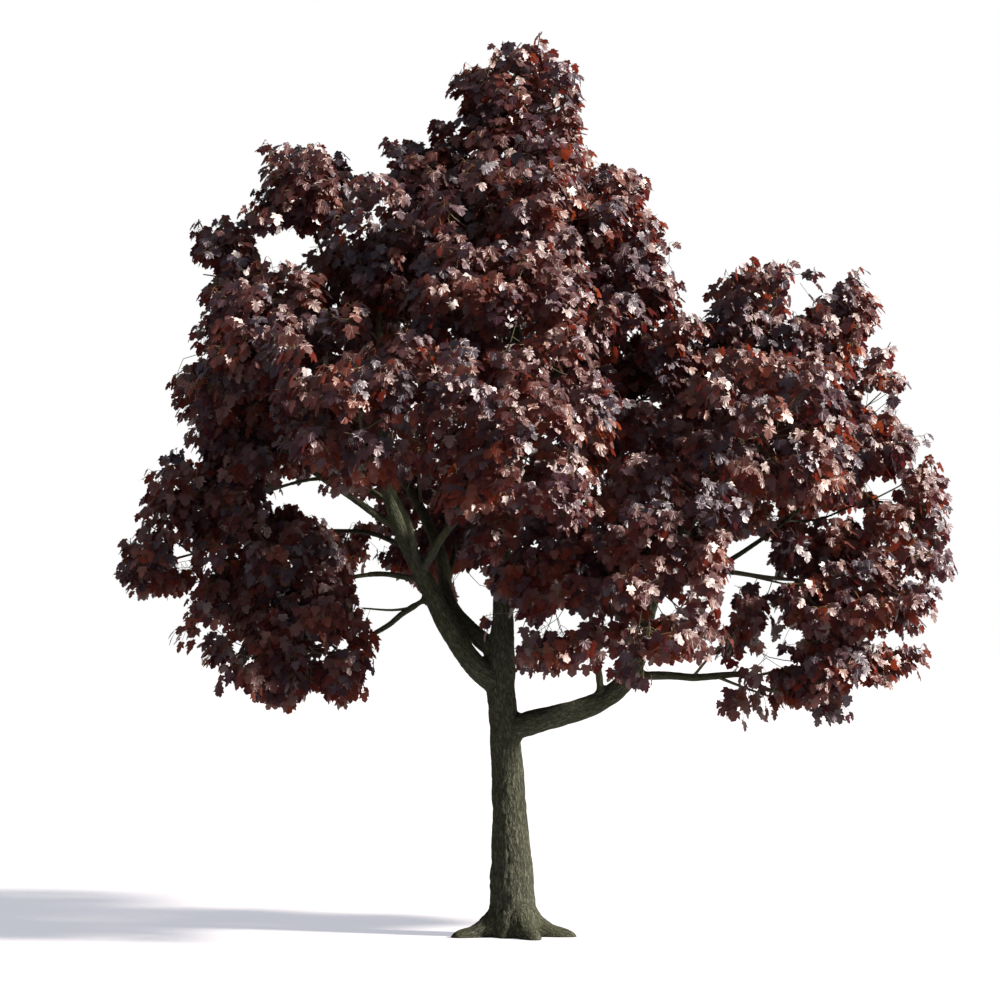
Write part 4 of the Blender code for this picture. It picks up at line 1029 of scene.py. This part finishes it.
def twig_material(settings):
    """Young smooth bark of the twigs: olive brown, paler where the light has weathered it."""
    material, tree = new_material("young twig bark")
    place = add_node(tree, "ShaderNodeTexCoord")
    # blotches about 60 mm long
    mottle = add_node(tree, "ShaderNodeTexNoise", Vector=place.outputs["Object"], Scale=16.0, Detail=3.0)
    colour = add_node(tree, "ShaderNodeMix", {"data_type": "RGBA"}, Factor_Float=mottle.outputs["Fac"],
                      A_Color=linear(settings.twig_dark), B_Color=linear(settings.twig_light))
    shader = add_node(tree, "ShaderNodeBsdfPrincipled", Base_Color=colour, Roughness=0.7)
    add_node(tree, "ShaderNodeOutputMaterial", Surface=shader)
    return material


def stalk_material(settings):
    """Leaf stalks: pale olive and smooth, so that they show as fine light lines among the dark blades."""
    material, tree = new_material("leaf stalk")
    shader = add_node(tree, "ShaderNodeBsdfPrincipled", Base_Color=linear(settings.stalk_colour),
                      Roughness=0.5)
    add_node(tree, "ShaderNodeOutputMaterial", Surface=shader)
    return material


def leaf_material(tint, settings):
    """A thin waxy maple leaf: dark, glossy, pleated along its veins, and red where light comes through."""
    material, tree = new_material(f"waxy maple leaf {tint.name}")
    place = add_node(tree, "ShaderNodeAttribute", {"attribute_name": "blade"})
    part = add_node(tree, "ShaderNodeSeparateXYZ", Vector=place.outputs["Vector"])
    angle = add_node(tree, "ShaderNodeMath", {"operation": "ARCTAN2"}, Value=part.outputs["X"],
                     Value_001=part.outputs["Y"])
    # a pleat to each side of every main vein, 35 degrees wide
    turns = add_node(tree, "ShaderNodeMath", {"operation": "MULTIPLY"}, Value=angle, Value_001=5.1)
    wave = add_node(tree, "ShaderNodeMath", {"operation": "SINE"}, Value=turns)
    pleat = add_node(tree, "ShaderNodeMath", {"operation": "ABSOLUTE"}, Value=wave)
    bump = add_node(tree, "ShaderNodeBump", Height=pleat, Strength=settings.pleat_strength, Distance=0.012)
    shader = add_node(tree, "ShaderNodeBsdfPrincipled", Base_Color=linear(tint.blade), Normal=bump,
                      Roughness=settings.leaf_roughness, IOR=1.6, Specular_IOR_Level=settings.leaf_gloss,
                      Specular_Tint=linear(tint.sheen), Coat_Weight=settings.leaf_wax,
                      Coat_Roughness=0.36)
    glow = add_node(tree, "ShaderNodeBsdfTranslucent", Color=linear(tint.through))
    both = add_node(tree, "ShaderNodeMixShader", Fac=settings.leaf_glow, Shader=shader, Shader_001=glow)
    add_node(tree, "ShaderNodeOutputMaterial", Surface=both)
    return material


# ---------------------------------------------------------------- the bark skin

SKIN_SIDES = 20  # of a limb's tube, before the tubes become one skin
FLARE_TOP = 0.5  # height below which the roots run smoothly into the trunk
FLARE_SHARPNESS = 4.0  # how soon they do so below that, per metre
LEAVING = 0.9  # a limb has left its parent at this share of the parent's radius from where it springs
CROTCH_WIDTH, CROTCH_MARGIN = 2.0, 0.02  # how far a crotch spreads: a share of the limb's radius, and more
CROTCH_SHARPNESS = 1.6  # how soon a crotch fades into the limbs
STEP_REMOVAL_ROUNDS, CROTCH_ROUNDS, FLARE_ROUNDS = 3, 24, 60  # rounds of evening out
COUNTER = 0.52  # a step back after each step, which takes the edges of the voxels off but no thickness
LENGTHWISE = 0.7  # sideways part of a limb's direction from which its grain is measured from backwards
LIMB_OFFSET = 3.0  # shift of the grain from one limb to the next, so that their patterns differ
BATCH = 4000  # points whose nearest limb is looked for at one time


def chains_object(name, paths):
    """Chains of edges through x, y, z, radius stations, with the radius kept on each point as its girth."""
    stations = np.array([tuple(station) for path in paths for station in path])
    edges, first = [], 0
    for path in paths:
        edges += [(k, k + 1) for k in range(first, first + len(path) - 1)]
        first += len(path)
    mesh = bpy.data.meshes.new(f"{name} axes")
    mesh.from_pydata(stations[:, :3], edges, [])
    keep(mesh, "girth", "FLOAT", stations[:, 3])
    return add_object(mesh.name, mesh)


def keep(mesh, name, kind, values):
    """Store one value on each point of a mesh."""
    field = {"FLOAT": "value", "INT": "value", "FLOAT_VECTOR": "vector"}[kind]
    attribute = mesh.attributes.new(name, kind, "POINT")
    attribute.data.foreach_set(field, np.asarray(values).ravel())


def points_of(mesh):
    """The places of a mesh's points, as rows of x, y and z."""
    places = np.zeros(3 * len(mesh.vertices))
    mesh.vertices.foreach_get("co", places)
    return places.reshape(-1, 3)


def grain_frames(paths):
    """Along every limb: places, directions (two across and one along), distances run, and radii."""
    frames = []
    for number, path in enumerate(paths):
        tangent = (path[1].xyz - path[0].xyz).normalized()
        side = across(SIDEWAYS if abs(tangent.x) < LENGTHWISE else BACKWARDS, tangent)
        run = LIMB_OFFSET * number
        for here, there in zip(path, path[1:]):
            tangent = (there.xyz - here.xyz).normalized()
            side = across(side, tangent)
            frames.append((here.xyz, (side, tangent.cross(side), tangent), run, here.w))
            run += (there.xyz - here.xyz).length
    return [np.array(column) for column in zip(*frames)]


def grain_of(points, paths):
    """Where each point lies in the grain of its nearest limb, and that limb's radius there."""
    places, directions, runs, radii = grain_frames(paths)
    grain = np.zeros((len(points), 3))
    girth = np.zeros(len(points))
    for start in range(0, len(points), BATCH):
        part = points[start:start + BATCH]
        gap = np.linalg.norm(part[:, None] - places[None], axis=2) - radii[None]
        near = gap.argmin(axis=1)
        offset = part - places[near]
        for axis in range(3):
            grain[start:start + BATCH, axis] = (offset * directions[near, axis]).sum(axis=1)
        grain[start:start + BATCH, 2] += runs[near]
        girth[start:start + BATCH] = radii[near]
    return grain, girth


def relax(mesh, strength, rounds, counter=0.0):
    """Even out a skin: each point moves half-way to the mean of its neighbours, and back by the counter."""
    points = points_of(mesh)
    ends = np.zeros(2 * len(mesh.edges), int)
    mesh.edges.foreach_get("vertices", ends)
    a, b = ends.reshape(-1, 2).T
    around, to = np.concatenate([a, b]), np.concatenate([b, a])
    degree = np.bincount(around, minlength=len(points))[:, None]
    for _ in range(rounds):
        for share in (0.5, -counter):
            mean = np.stack([np.bincount(around, points[to, k], len(points)) for k in range(3)], 1) / degree
            points += share * strength[:, None] * (mean - points)
    mesh.vertices.foreach_set("co", points.ravel())


def crotch_strength(points):
    """How close each point is to a crotch between two limbs, from 0 to 1."""
    strength = np.zeros(len(points))
    paths = limb_paths()
    for name, bough in BOUGHS.items():
        spring = paths[name][0]
        parent = nearest_station(paths[bough.parent], spring.xyz)
        middle = next(s for s in paths[name] if (s.xyz - spring.xyz).length > LEAVING * parent.w)
        size = CROTCH_WIDTH * bough.foot + CROTCH_MARGIN
        gap = np.linalg.norm(points - np.array(middle.xyz), axis=1) / size
        strength = np.maximum(strength, np.clip(CROTCH_SHARPNESS - CROTCH_SHARPNESS * gap, 0, 1))
    return strength


def cut_at_ground(mesh):
    """Cut a skin off flat at ground level and close the cut."""
    bm = bmesh.new()
    bm.from_mesh(mesh)
    everything = [*bm.verts, *bm.edges, *bm.faces]
    line = bmesh.ops.bisect_plane(bm, geom=everything, plane_co=(0, 0, 0), plane_no=UP, clear_inner=True)
    rim = [item for item in line["geom_cut"] if isinstance(item, bmesh.types.BMEdge)]
    bmesh.ops.edgeloop_fill(bm, edges=rim)
    bm.to_mesh(mesh)
    bm.free()


def make_skin(settings):
    """Trunk, roots and boughs as one skin of bark."""
    paths = limb_paths()
    limbs = [*paths.values(), *(root_path(*root) for root in ROOTS)]
    material = bark_material(settings)
    tubes = apply_tree(chains_object("limb", limbs), tube_tree(), "limb tubes", Sides=SKIN_SIDES, Caps=True,
                       Material=material)
    voxels = tubes.modifiers.new("one skin", "REMESH")
    voxels.mode = "VOXEL"
    voxels.voxel_size = settings.skin_detail
    mesh = evaluated_mesh(tubes)
    remove(tubes)
    relax(mesh, np.ones(len(mesh.vertices)), STEP_REMOVAL_ROUNDS, counter=COUNTER)
    relax(mesh, crotch_strength(points_of(mesh)), CROTCH_ROUNDS)
    relax(mesh, np.clip(FLARE_SHARPNESS * (FLARE_TOP - points_of(mesh)[:, 2]), 0, 1), FLARE_ROUNDS)
    grain, girth = grain_of(points_of(mesh), limbs)
    keep(mesh, "grain", "FLOAT_VECTOR", grain)
    keep(mesh, "girth", "FLOAT", girth)
    skin = apply_tree(add_object("skin", mesh), bark_tree(), "bark", Furrow_Depth=settings.furrow_depth,
                      Furrow_Width=settings.furrow_width, Furrow_Length=settings.furrow_length,
                      Swell=settings.swell, Material=material)
    cut_at_ground(skin.data)
    hold(skin, ["trunk", *BOUGHS])
    return skin


# ---------------------------------------------------------------- leaves, stalks and twigs

STALK_FOOT = 1.3  # how much thicker a stalk is at its foot

# One half of a blade's outline, from the stalk round to the tip, across and along, in blade lengths.
HALF_OUTLINE = [
    (0.22, -0.10), (0.50, 0.00), (0.44, 0.18), (0.66, 0.47), (0.32, 0.46), (0.34, 0.74),
]
PALM = (0.0, 0.20)  # where the veins meet
VEINS = [(0.50, 0.00), (0.66, 0.47), (0.0, 1.0)]  # the tips of the lobes
# Forms: how far the sides hang, how far the tip hangs, and how deep the blade is folded along its veins.
LEAF_FORMS = [(0.16, 0.12, 0.05), (0.05, 0.22, 0.03), (0.30, 0.05, 0.10), (-0.08, 0.16, 0.06)]


def make_leaf_form(number, droop, hang, fold):
    """One leaf blade, one unit long from the end of its stalk, with its face up."""
    outline = [(0.0, 0.0), *HALF_OUTLINE, (0.0, 1.0), *((-x, y) for x, y in reversed(HALF_OUTLINE))]
    bm = bmesh.new()

    def place(x, y):
        is_vein = (abs(x), y) in VEINS
        height = -droop * x * x - hang * max(0.0, y - PALM[1]) ** 2 + (0 if is_vein else fold * abs(x))
        return bm.verts.new((x, y, height))

    middle = place(*PALM)
    rim = [place(x, y) for x, y in outline]
    for here, there in zip(rim, [*rim[1:], rim[0]]):
        bm.faces.new((middle, here, there))
    for face in bm.faces:
        face.smooth = True
    mesh = bpy.data.meshes.new(f"leaf form {number}")
    bm.to_mesh(mesh)
    bm.free()
    keep(mesh, "blade", "FLOAT_VECTOR", points_of(mesh) - np.array([*PALM, 0.0]))
    return bpy.data.objects.new(mesh.name, mesh)


def make_leaves(settings):
    """All leaves, one piece for each tint."""
    _, _, leaves = grow_crown(settings)
    forms = bpy.data.collections.new("leaf forms")
    for number, form in enumerate(LEAF_FORMS):
        forms.objects.link(make_leaf_form(number, *form))
    for number, tint in enumerate(TINTS):
        mesh = bpy.data.meshes.new("leaf places")
        mesh.from_pydata([leaf.base for leaf in leaves], [], [])
        for field, kind in LEAF_FIELDS.items():
            keep(mesh, field, kind, [getattr(leaf, field) for leaf in leaves])
        material = leaf_material(tint, settings)
        piece = apply_tree(add_object("leaf places", mesh), leaf_tree(), f"leaves_{tint.name}",
                           Leaf_Forms=forms, Tint=number, Material=material)
        hold(piece, list(MASSES))


def make_stalks(settings):
    """The stalks of all leaves, in two pieces, parted at the crown's middle."""
    _, _, leaves = grow_crown(settings)
    material = stalk_material(settings)
    for name, is_high in (("leaf_stalks_upper", True), ("leaf_stalks_lower", False)):
        paths = []
        for leaf in leaves:
            if (leaf.base.z > CROWN_MIDDLE.z) == is_high:
                thick = settings.stalk_radius
                middle = [Vector((*leaf.bend, thick))] if leaf.bend else []
                foot = Vector((*leaf.node, STALK_FOOT * thick))
                paths.append([foot, *middle, Vector((*leaf.base, thick))])
        piece = apply_tree(chains_object(name, paths), tube_tree(), name, Sides=3, Material=material)
        hold(piece)


def make_twigs(settings):
    """The stems and branches of the masses, and their twigs."""
    woods, twigs, _ = grow_crown(settings)
    material = twig_material(settings)
    woods = [*woods, *branchlet_paths()]
    branches = apply_tree(chains_object("branches", woods), tube_tree(), "branches", Sides=6, Caps=True,
                          Material=material)
    hold(branches)
    fine = apply_tree(chains_object("twigs", twigs), tube_tree(), "twigs", Sides=3, Material=material)
    hold(fine)


# ---------------------------------------------------------------- stage

FLOOR_SIZE = 400  # so wide that its edge is lost in the white behind
SIGHT = 500  # how far the camera sees


def make_floor(settings):
    """A plain pale floor, with a light of its own that only the camera sees and that pales the shadow."""
    bpy.ops.mesh.primitive_plane_add(size=FLOOR_SIZE)
    floor = bpy.context.object
    floor.name = "floor"
    material, tree = new_material("matt pale floor")
    path = add_node(tree, "ShaderNodeLightPath")
    glow = add_node(tree, "ShaderNodeMath", {"operation": "MULTIPLY"}, Value=path.outputs["Is Camera Ray"],
                    Value_001=settings.floor_glow)
    shader = add_node(tree, "ShaderNodeBsdfPrincipled", Base_Color=linear(settings.floor_colour),
                      Roughness=0.9, Emission_Color=linear(settings.sky_colour), Emission_Strength=glow)
    add_node(tree, "ShaderNodeOutputMaterial", Surface=shader)
    floor.data.materials.append(material)


def make_light(settings):
    """One soft lamp on the right, pale light from all round, and a white wall for the camera alone."""
    lamp = bpy.data.lights.new("key light", "SUN")
    lamp.energy = settings.key_strength
    lamp.angle = math.radians(settings.key_softness)
    lamp.color = linear(settings.key_colour)[:3]
    key = add_object("key light", lamp)
    azimuth, elevation = math.radians(settings.key_azimuth), math.radians(settings.key_elevation)
    towards = Vector((math.cos(azimuth) * math.cos(elevation), math.sin(azimuth) * math.cos(elevation),
                      math.sin(elevation)))
    key.rotation_euler = towards.to_track_quat("Z", "Y").to_euler()
    world = bpy.data.worlds.new("pale surroundings")
    world.use_nodes = True
    tree = world.node_tree
    tree.nodes.clear()
    path = add_node(tree, "ShaderNodeLightPath")
    glow = add_node(tree, "ShaderNodeBackground", Color=linear(settings.sky_colour),
                    Strength=settings.sky_strength)
    wall = add_node(tree, "ShaderNodeBackground", Color=linear(settings.wall_colour), Strength=1.0)
    mixed = add_node(tree, "ShaderNodeMixShader", Fac=path.outputs["Is Camera Ray"], Shader=glow,
                     Shader_001=wall)
    add_node(tree, "ShaderNodeOutputWorld", Surface=mixed)
    bpy.context.scene.world = world


def make_camera():
    """The view from the front."""
    lens = bpy.data.cameras.new("camera")
    lens.lens = EYE_LENS
    lens.clip_end = SIGHT
    camera = add_object("camera", lens)
    camera.location = EYE
    camera.rotation_euler = (math.pi / 2 + EYE_PITCH, 0, 0)
    bpy.context.scene.camera = camera
    bpy.context.scene.view_settings.view_transform = "Standard"


# ---------------------------------------------------------------- settings

class MapleSettings(bpy.types.PropertyGroup):
    """Sizes and colours of the maple's bark and leaves."""

    skin_detail: FloatProperty(name="Skin detail", description="Size of the bark skin's faces",
                               default=0.0149, unit="LENGTH")
    furrow_depth: FloatProperty(name="Furrow depth", description="Depth of the furrows on the trunk",
                                default=0.009, unit="LENGTH")
    furrow_width: FloatProperty(name="Furrow width", description="Distance between two deep furrows",
                                default=0.045, unit="LENGTH")
    furrow_length: FloatProperty(name="Furrow length", description="Length of a ridge between furrows",
                                 default=0.26, unit="LENGTH")
    swell: FloatProperty(name="Swell", description="Unevenness of a limb's thickness", default=0.016,
                         unit="LENGTH")
    ridge_colour: StringProperty(name="Ridge colour", description="Bark on ridges", default="#4b4f41")
    # painted shade: the near-black colour that the fissures and furrows of the bark are darkened to
    furrow_shade_colour: StringProperty(name="Furrow colour", description="Bark in furrows", default="#10110a")
    algae_colour: StringProperty(name="Algae colour", description="Green film on bark", default="#343a22")
    twig_dark: StringProperty(name="Twig colour, dark", description="Fresh twig bark", default="#33342a")
    twig_light: StringProperty(name="Twig colour, light", description="Weathered twigs", default="#77755c")
    stalk_colour: StringProperty(name="Stalk colour", description="Leaf stalks", default="#7a6a44")
    stalk_radius: FloatProperty(name="Stalk radius", description="Half the thickness of a leaf stalk",
                                default=0.0021, unit="LENGTH")
    sprays_per_square_metre: FloatProperty(
        name="Sprays", description="Sprays on each square metre of a mass's surface", default=17.0)
    leaves_per_spray: IntProperty(name="Leaves", description="Leaves in a spray", default=10)
    leaf_length: FloatProperty(name="Leaf length", description="Length of a large leaf's blade",
                               default=0.117, unit="LENGTH")
    leaf_roughness: FloatProperty(name="Leaf roughness", description="Roughness of the blade", default=0.5)
    leaf_gloss: FloatProperty(name="Leaf gloss", description="Strength of the blade's gloss", default=1.0)
    leaf_wax: FloatProperty(name="Leaf wax", description="Strength of the clear wax on it", default=0.8)
    pleat_strength: FloatProperty(name="Pleats", description="Relief of the pleats by the veins",
                                  default=0.35)
    leaf_glow: FloatProperty(name="Leaf glow", description="Share of light coming through", default=0.20)


class StageSettings(bpy.types.PropertyGroup):
    """Floor and light of the stage."""

    floor_colour: StringProperty(name="Floor colour", description="The floor", default="#b4b4b4")
    floor_glow: FloatProperty(name="Floor glow", description="The floor's own light", default=0.56)
    wall_colour: StringProperty(name="Wall colour", description="What is seen behind", default="#ffffff")
    sky_colour: StringProperty(name="Sky colour", description="Light from all round", default="#eceefa")
    sky_strength: FloatProperty(name="Sky strength", description="Strength of the light from all round",
                                default=0.18)
    key_colour: StringProperty(name="Key colour", description="The lamp", default="#fff2e6")
    key_strength: FloatProperty(name="Key strength", description="Strength of the lamp", default=9.5)
    key_softness: FloatProperty(name="Key softness", description="Width of the lamp, in degrees",
                                default=5.0)
    key_azimuth: FloatProperty(name="Key azimuth", description="Bearing of the lamp from +X, in degrees",
                               default=-17.0)
    key_elevation: FloatProperty(name="Key elevation", description="Height of the lamp, in degrees",
                                 default=29.0)


# ---------------------------------------------------------------- operators and panel

class MAPLE_OT_bark(bpy.types.Operator):
    """Make the trunk, the roots and the boughs as one skin of furrowed bark"""
    bl_idname = "maple.bark"
    bl_label = "Bark"

    def execute(self, context):
        make_skin(context.scene.maple)
        return {"FINISHED"}


class MAPLE_OT_twigs(bpy.types.Operator):
    """Grow the branches and twigs of every mass of leaves"""
    bl_idname = "maple.twigs"
    bl_label = "Twigs"

    def execute(self, context):
        make_twigs(context.scene.maple)
        return {"FINISHED"}


class MAPLE_OT_stalks(bpy.types.Operator):
    """Grow the stalk of every leaf"""
    bl_idname = "maple.stalks"
    bl_label = "Leaf stalks"

    def execute(self, context):
        make_stalks(context.scene.maple)
        return {"FINISHED"}


class MAPLE_OT_leaves(bpy.types.Operator):
    """Grow the leaves, one piece for each tint"""
    bl_idname = "maple.leaves"
    bl_label = "Leaves"

    def execute(self, context):
        make_leaves(context.scene.maple)
        return {"FINISHED"}


class MAPLE_OT_stage(bpy.types.Operator):
    """Set up the floor, the light and the camera"""
    bl_idname = "maple.stage"
    bl_label = "Stage"

    def execute(self, context):
        make_floor(context.scene.maple_stage)
        make_light(context.scene.maple_stage)
        make_camera()
        return {"FINISHED"}


OPERATORS = (MAPLE_OT_bark, MAPLE_OT_twigs, MAPLE_OT_stalks, MAPLE_OT_leaves, MAPLE_OT_stage)


class MAPLE_PT_panel(bpy.types.Panel):
    """Sizes, colours and makers of the maple"""
    bl_idname = "MAPLE_PT_panel"
    bl_label = "Purple Maple"
    bl_space_type = "VIEW_3D"
    bl_region_type = "UI"
    bl_category = "Maple"

    def draw(self, context):
        for operator in OPERATORS:
            self.layout.operator(operator.bl_idname)
        for settings in (context.scene.maple, context.scene.maple_stage):
            for key in type(settings).__annotations__:
                self.layout.prop(settings, key)


CLASSES = (MapleSettings, StageSettings, *OPERATORS, MAPLE_PT_panel)


def register():
    """Make the classes known to Blender, and give the scene its settings."""
    for cls in CLASSES:
        bpy.utils.register_class(cls)
    bpy.types.Scene.maple = PointerProperty(type=MapleSettings)
    bpy.types.Scene.maple_stage = PointerProperty(type=StageSettings)


def unregister():
    """Take back what register does."""
    del bpy.types.Scene.maple_stage
    del bpy.types.Scene.maple
    for cls in reversed(CLASSES):
        bpy.utils.unregister_class(cls)


def main():
    """Make every piece and the stage."""
    register()
    for operator in OPERATORS:
        group, name = operator.bl_idname.split(".")
        getattr(getattr(bpy.ops, group), name)()


if __name__ == "__main__":
    main()
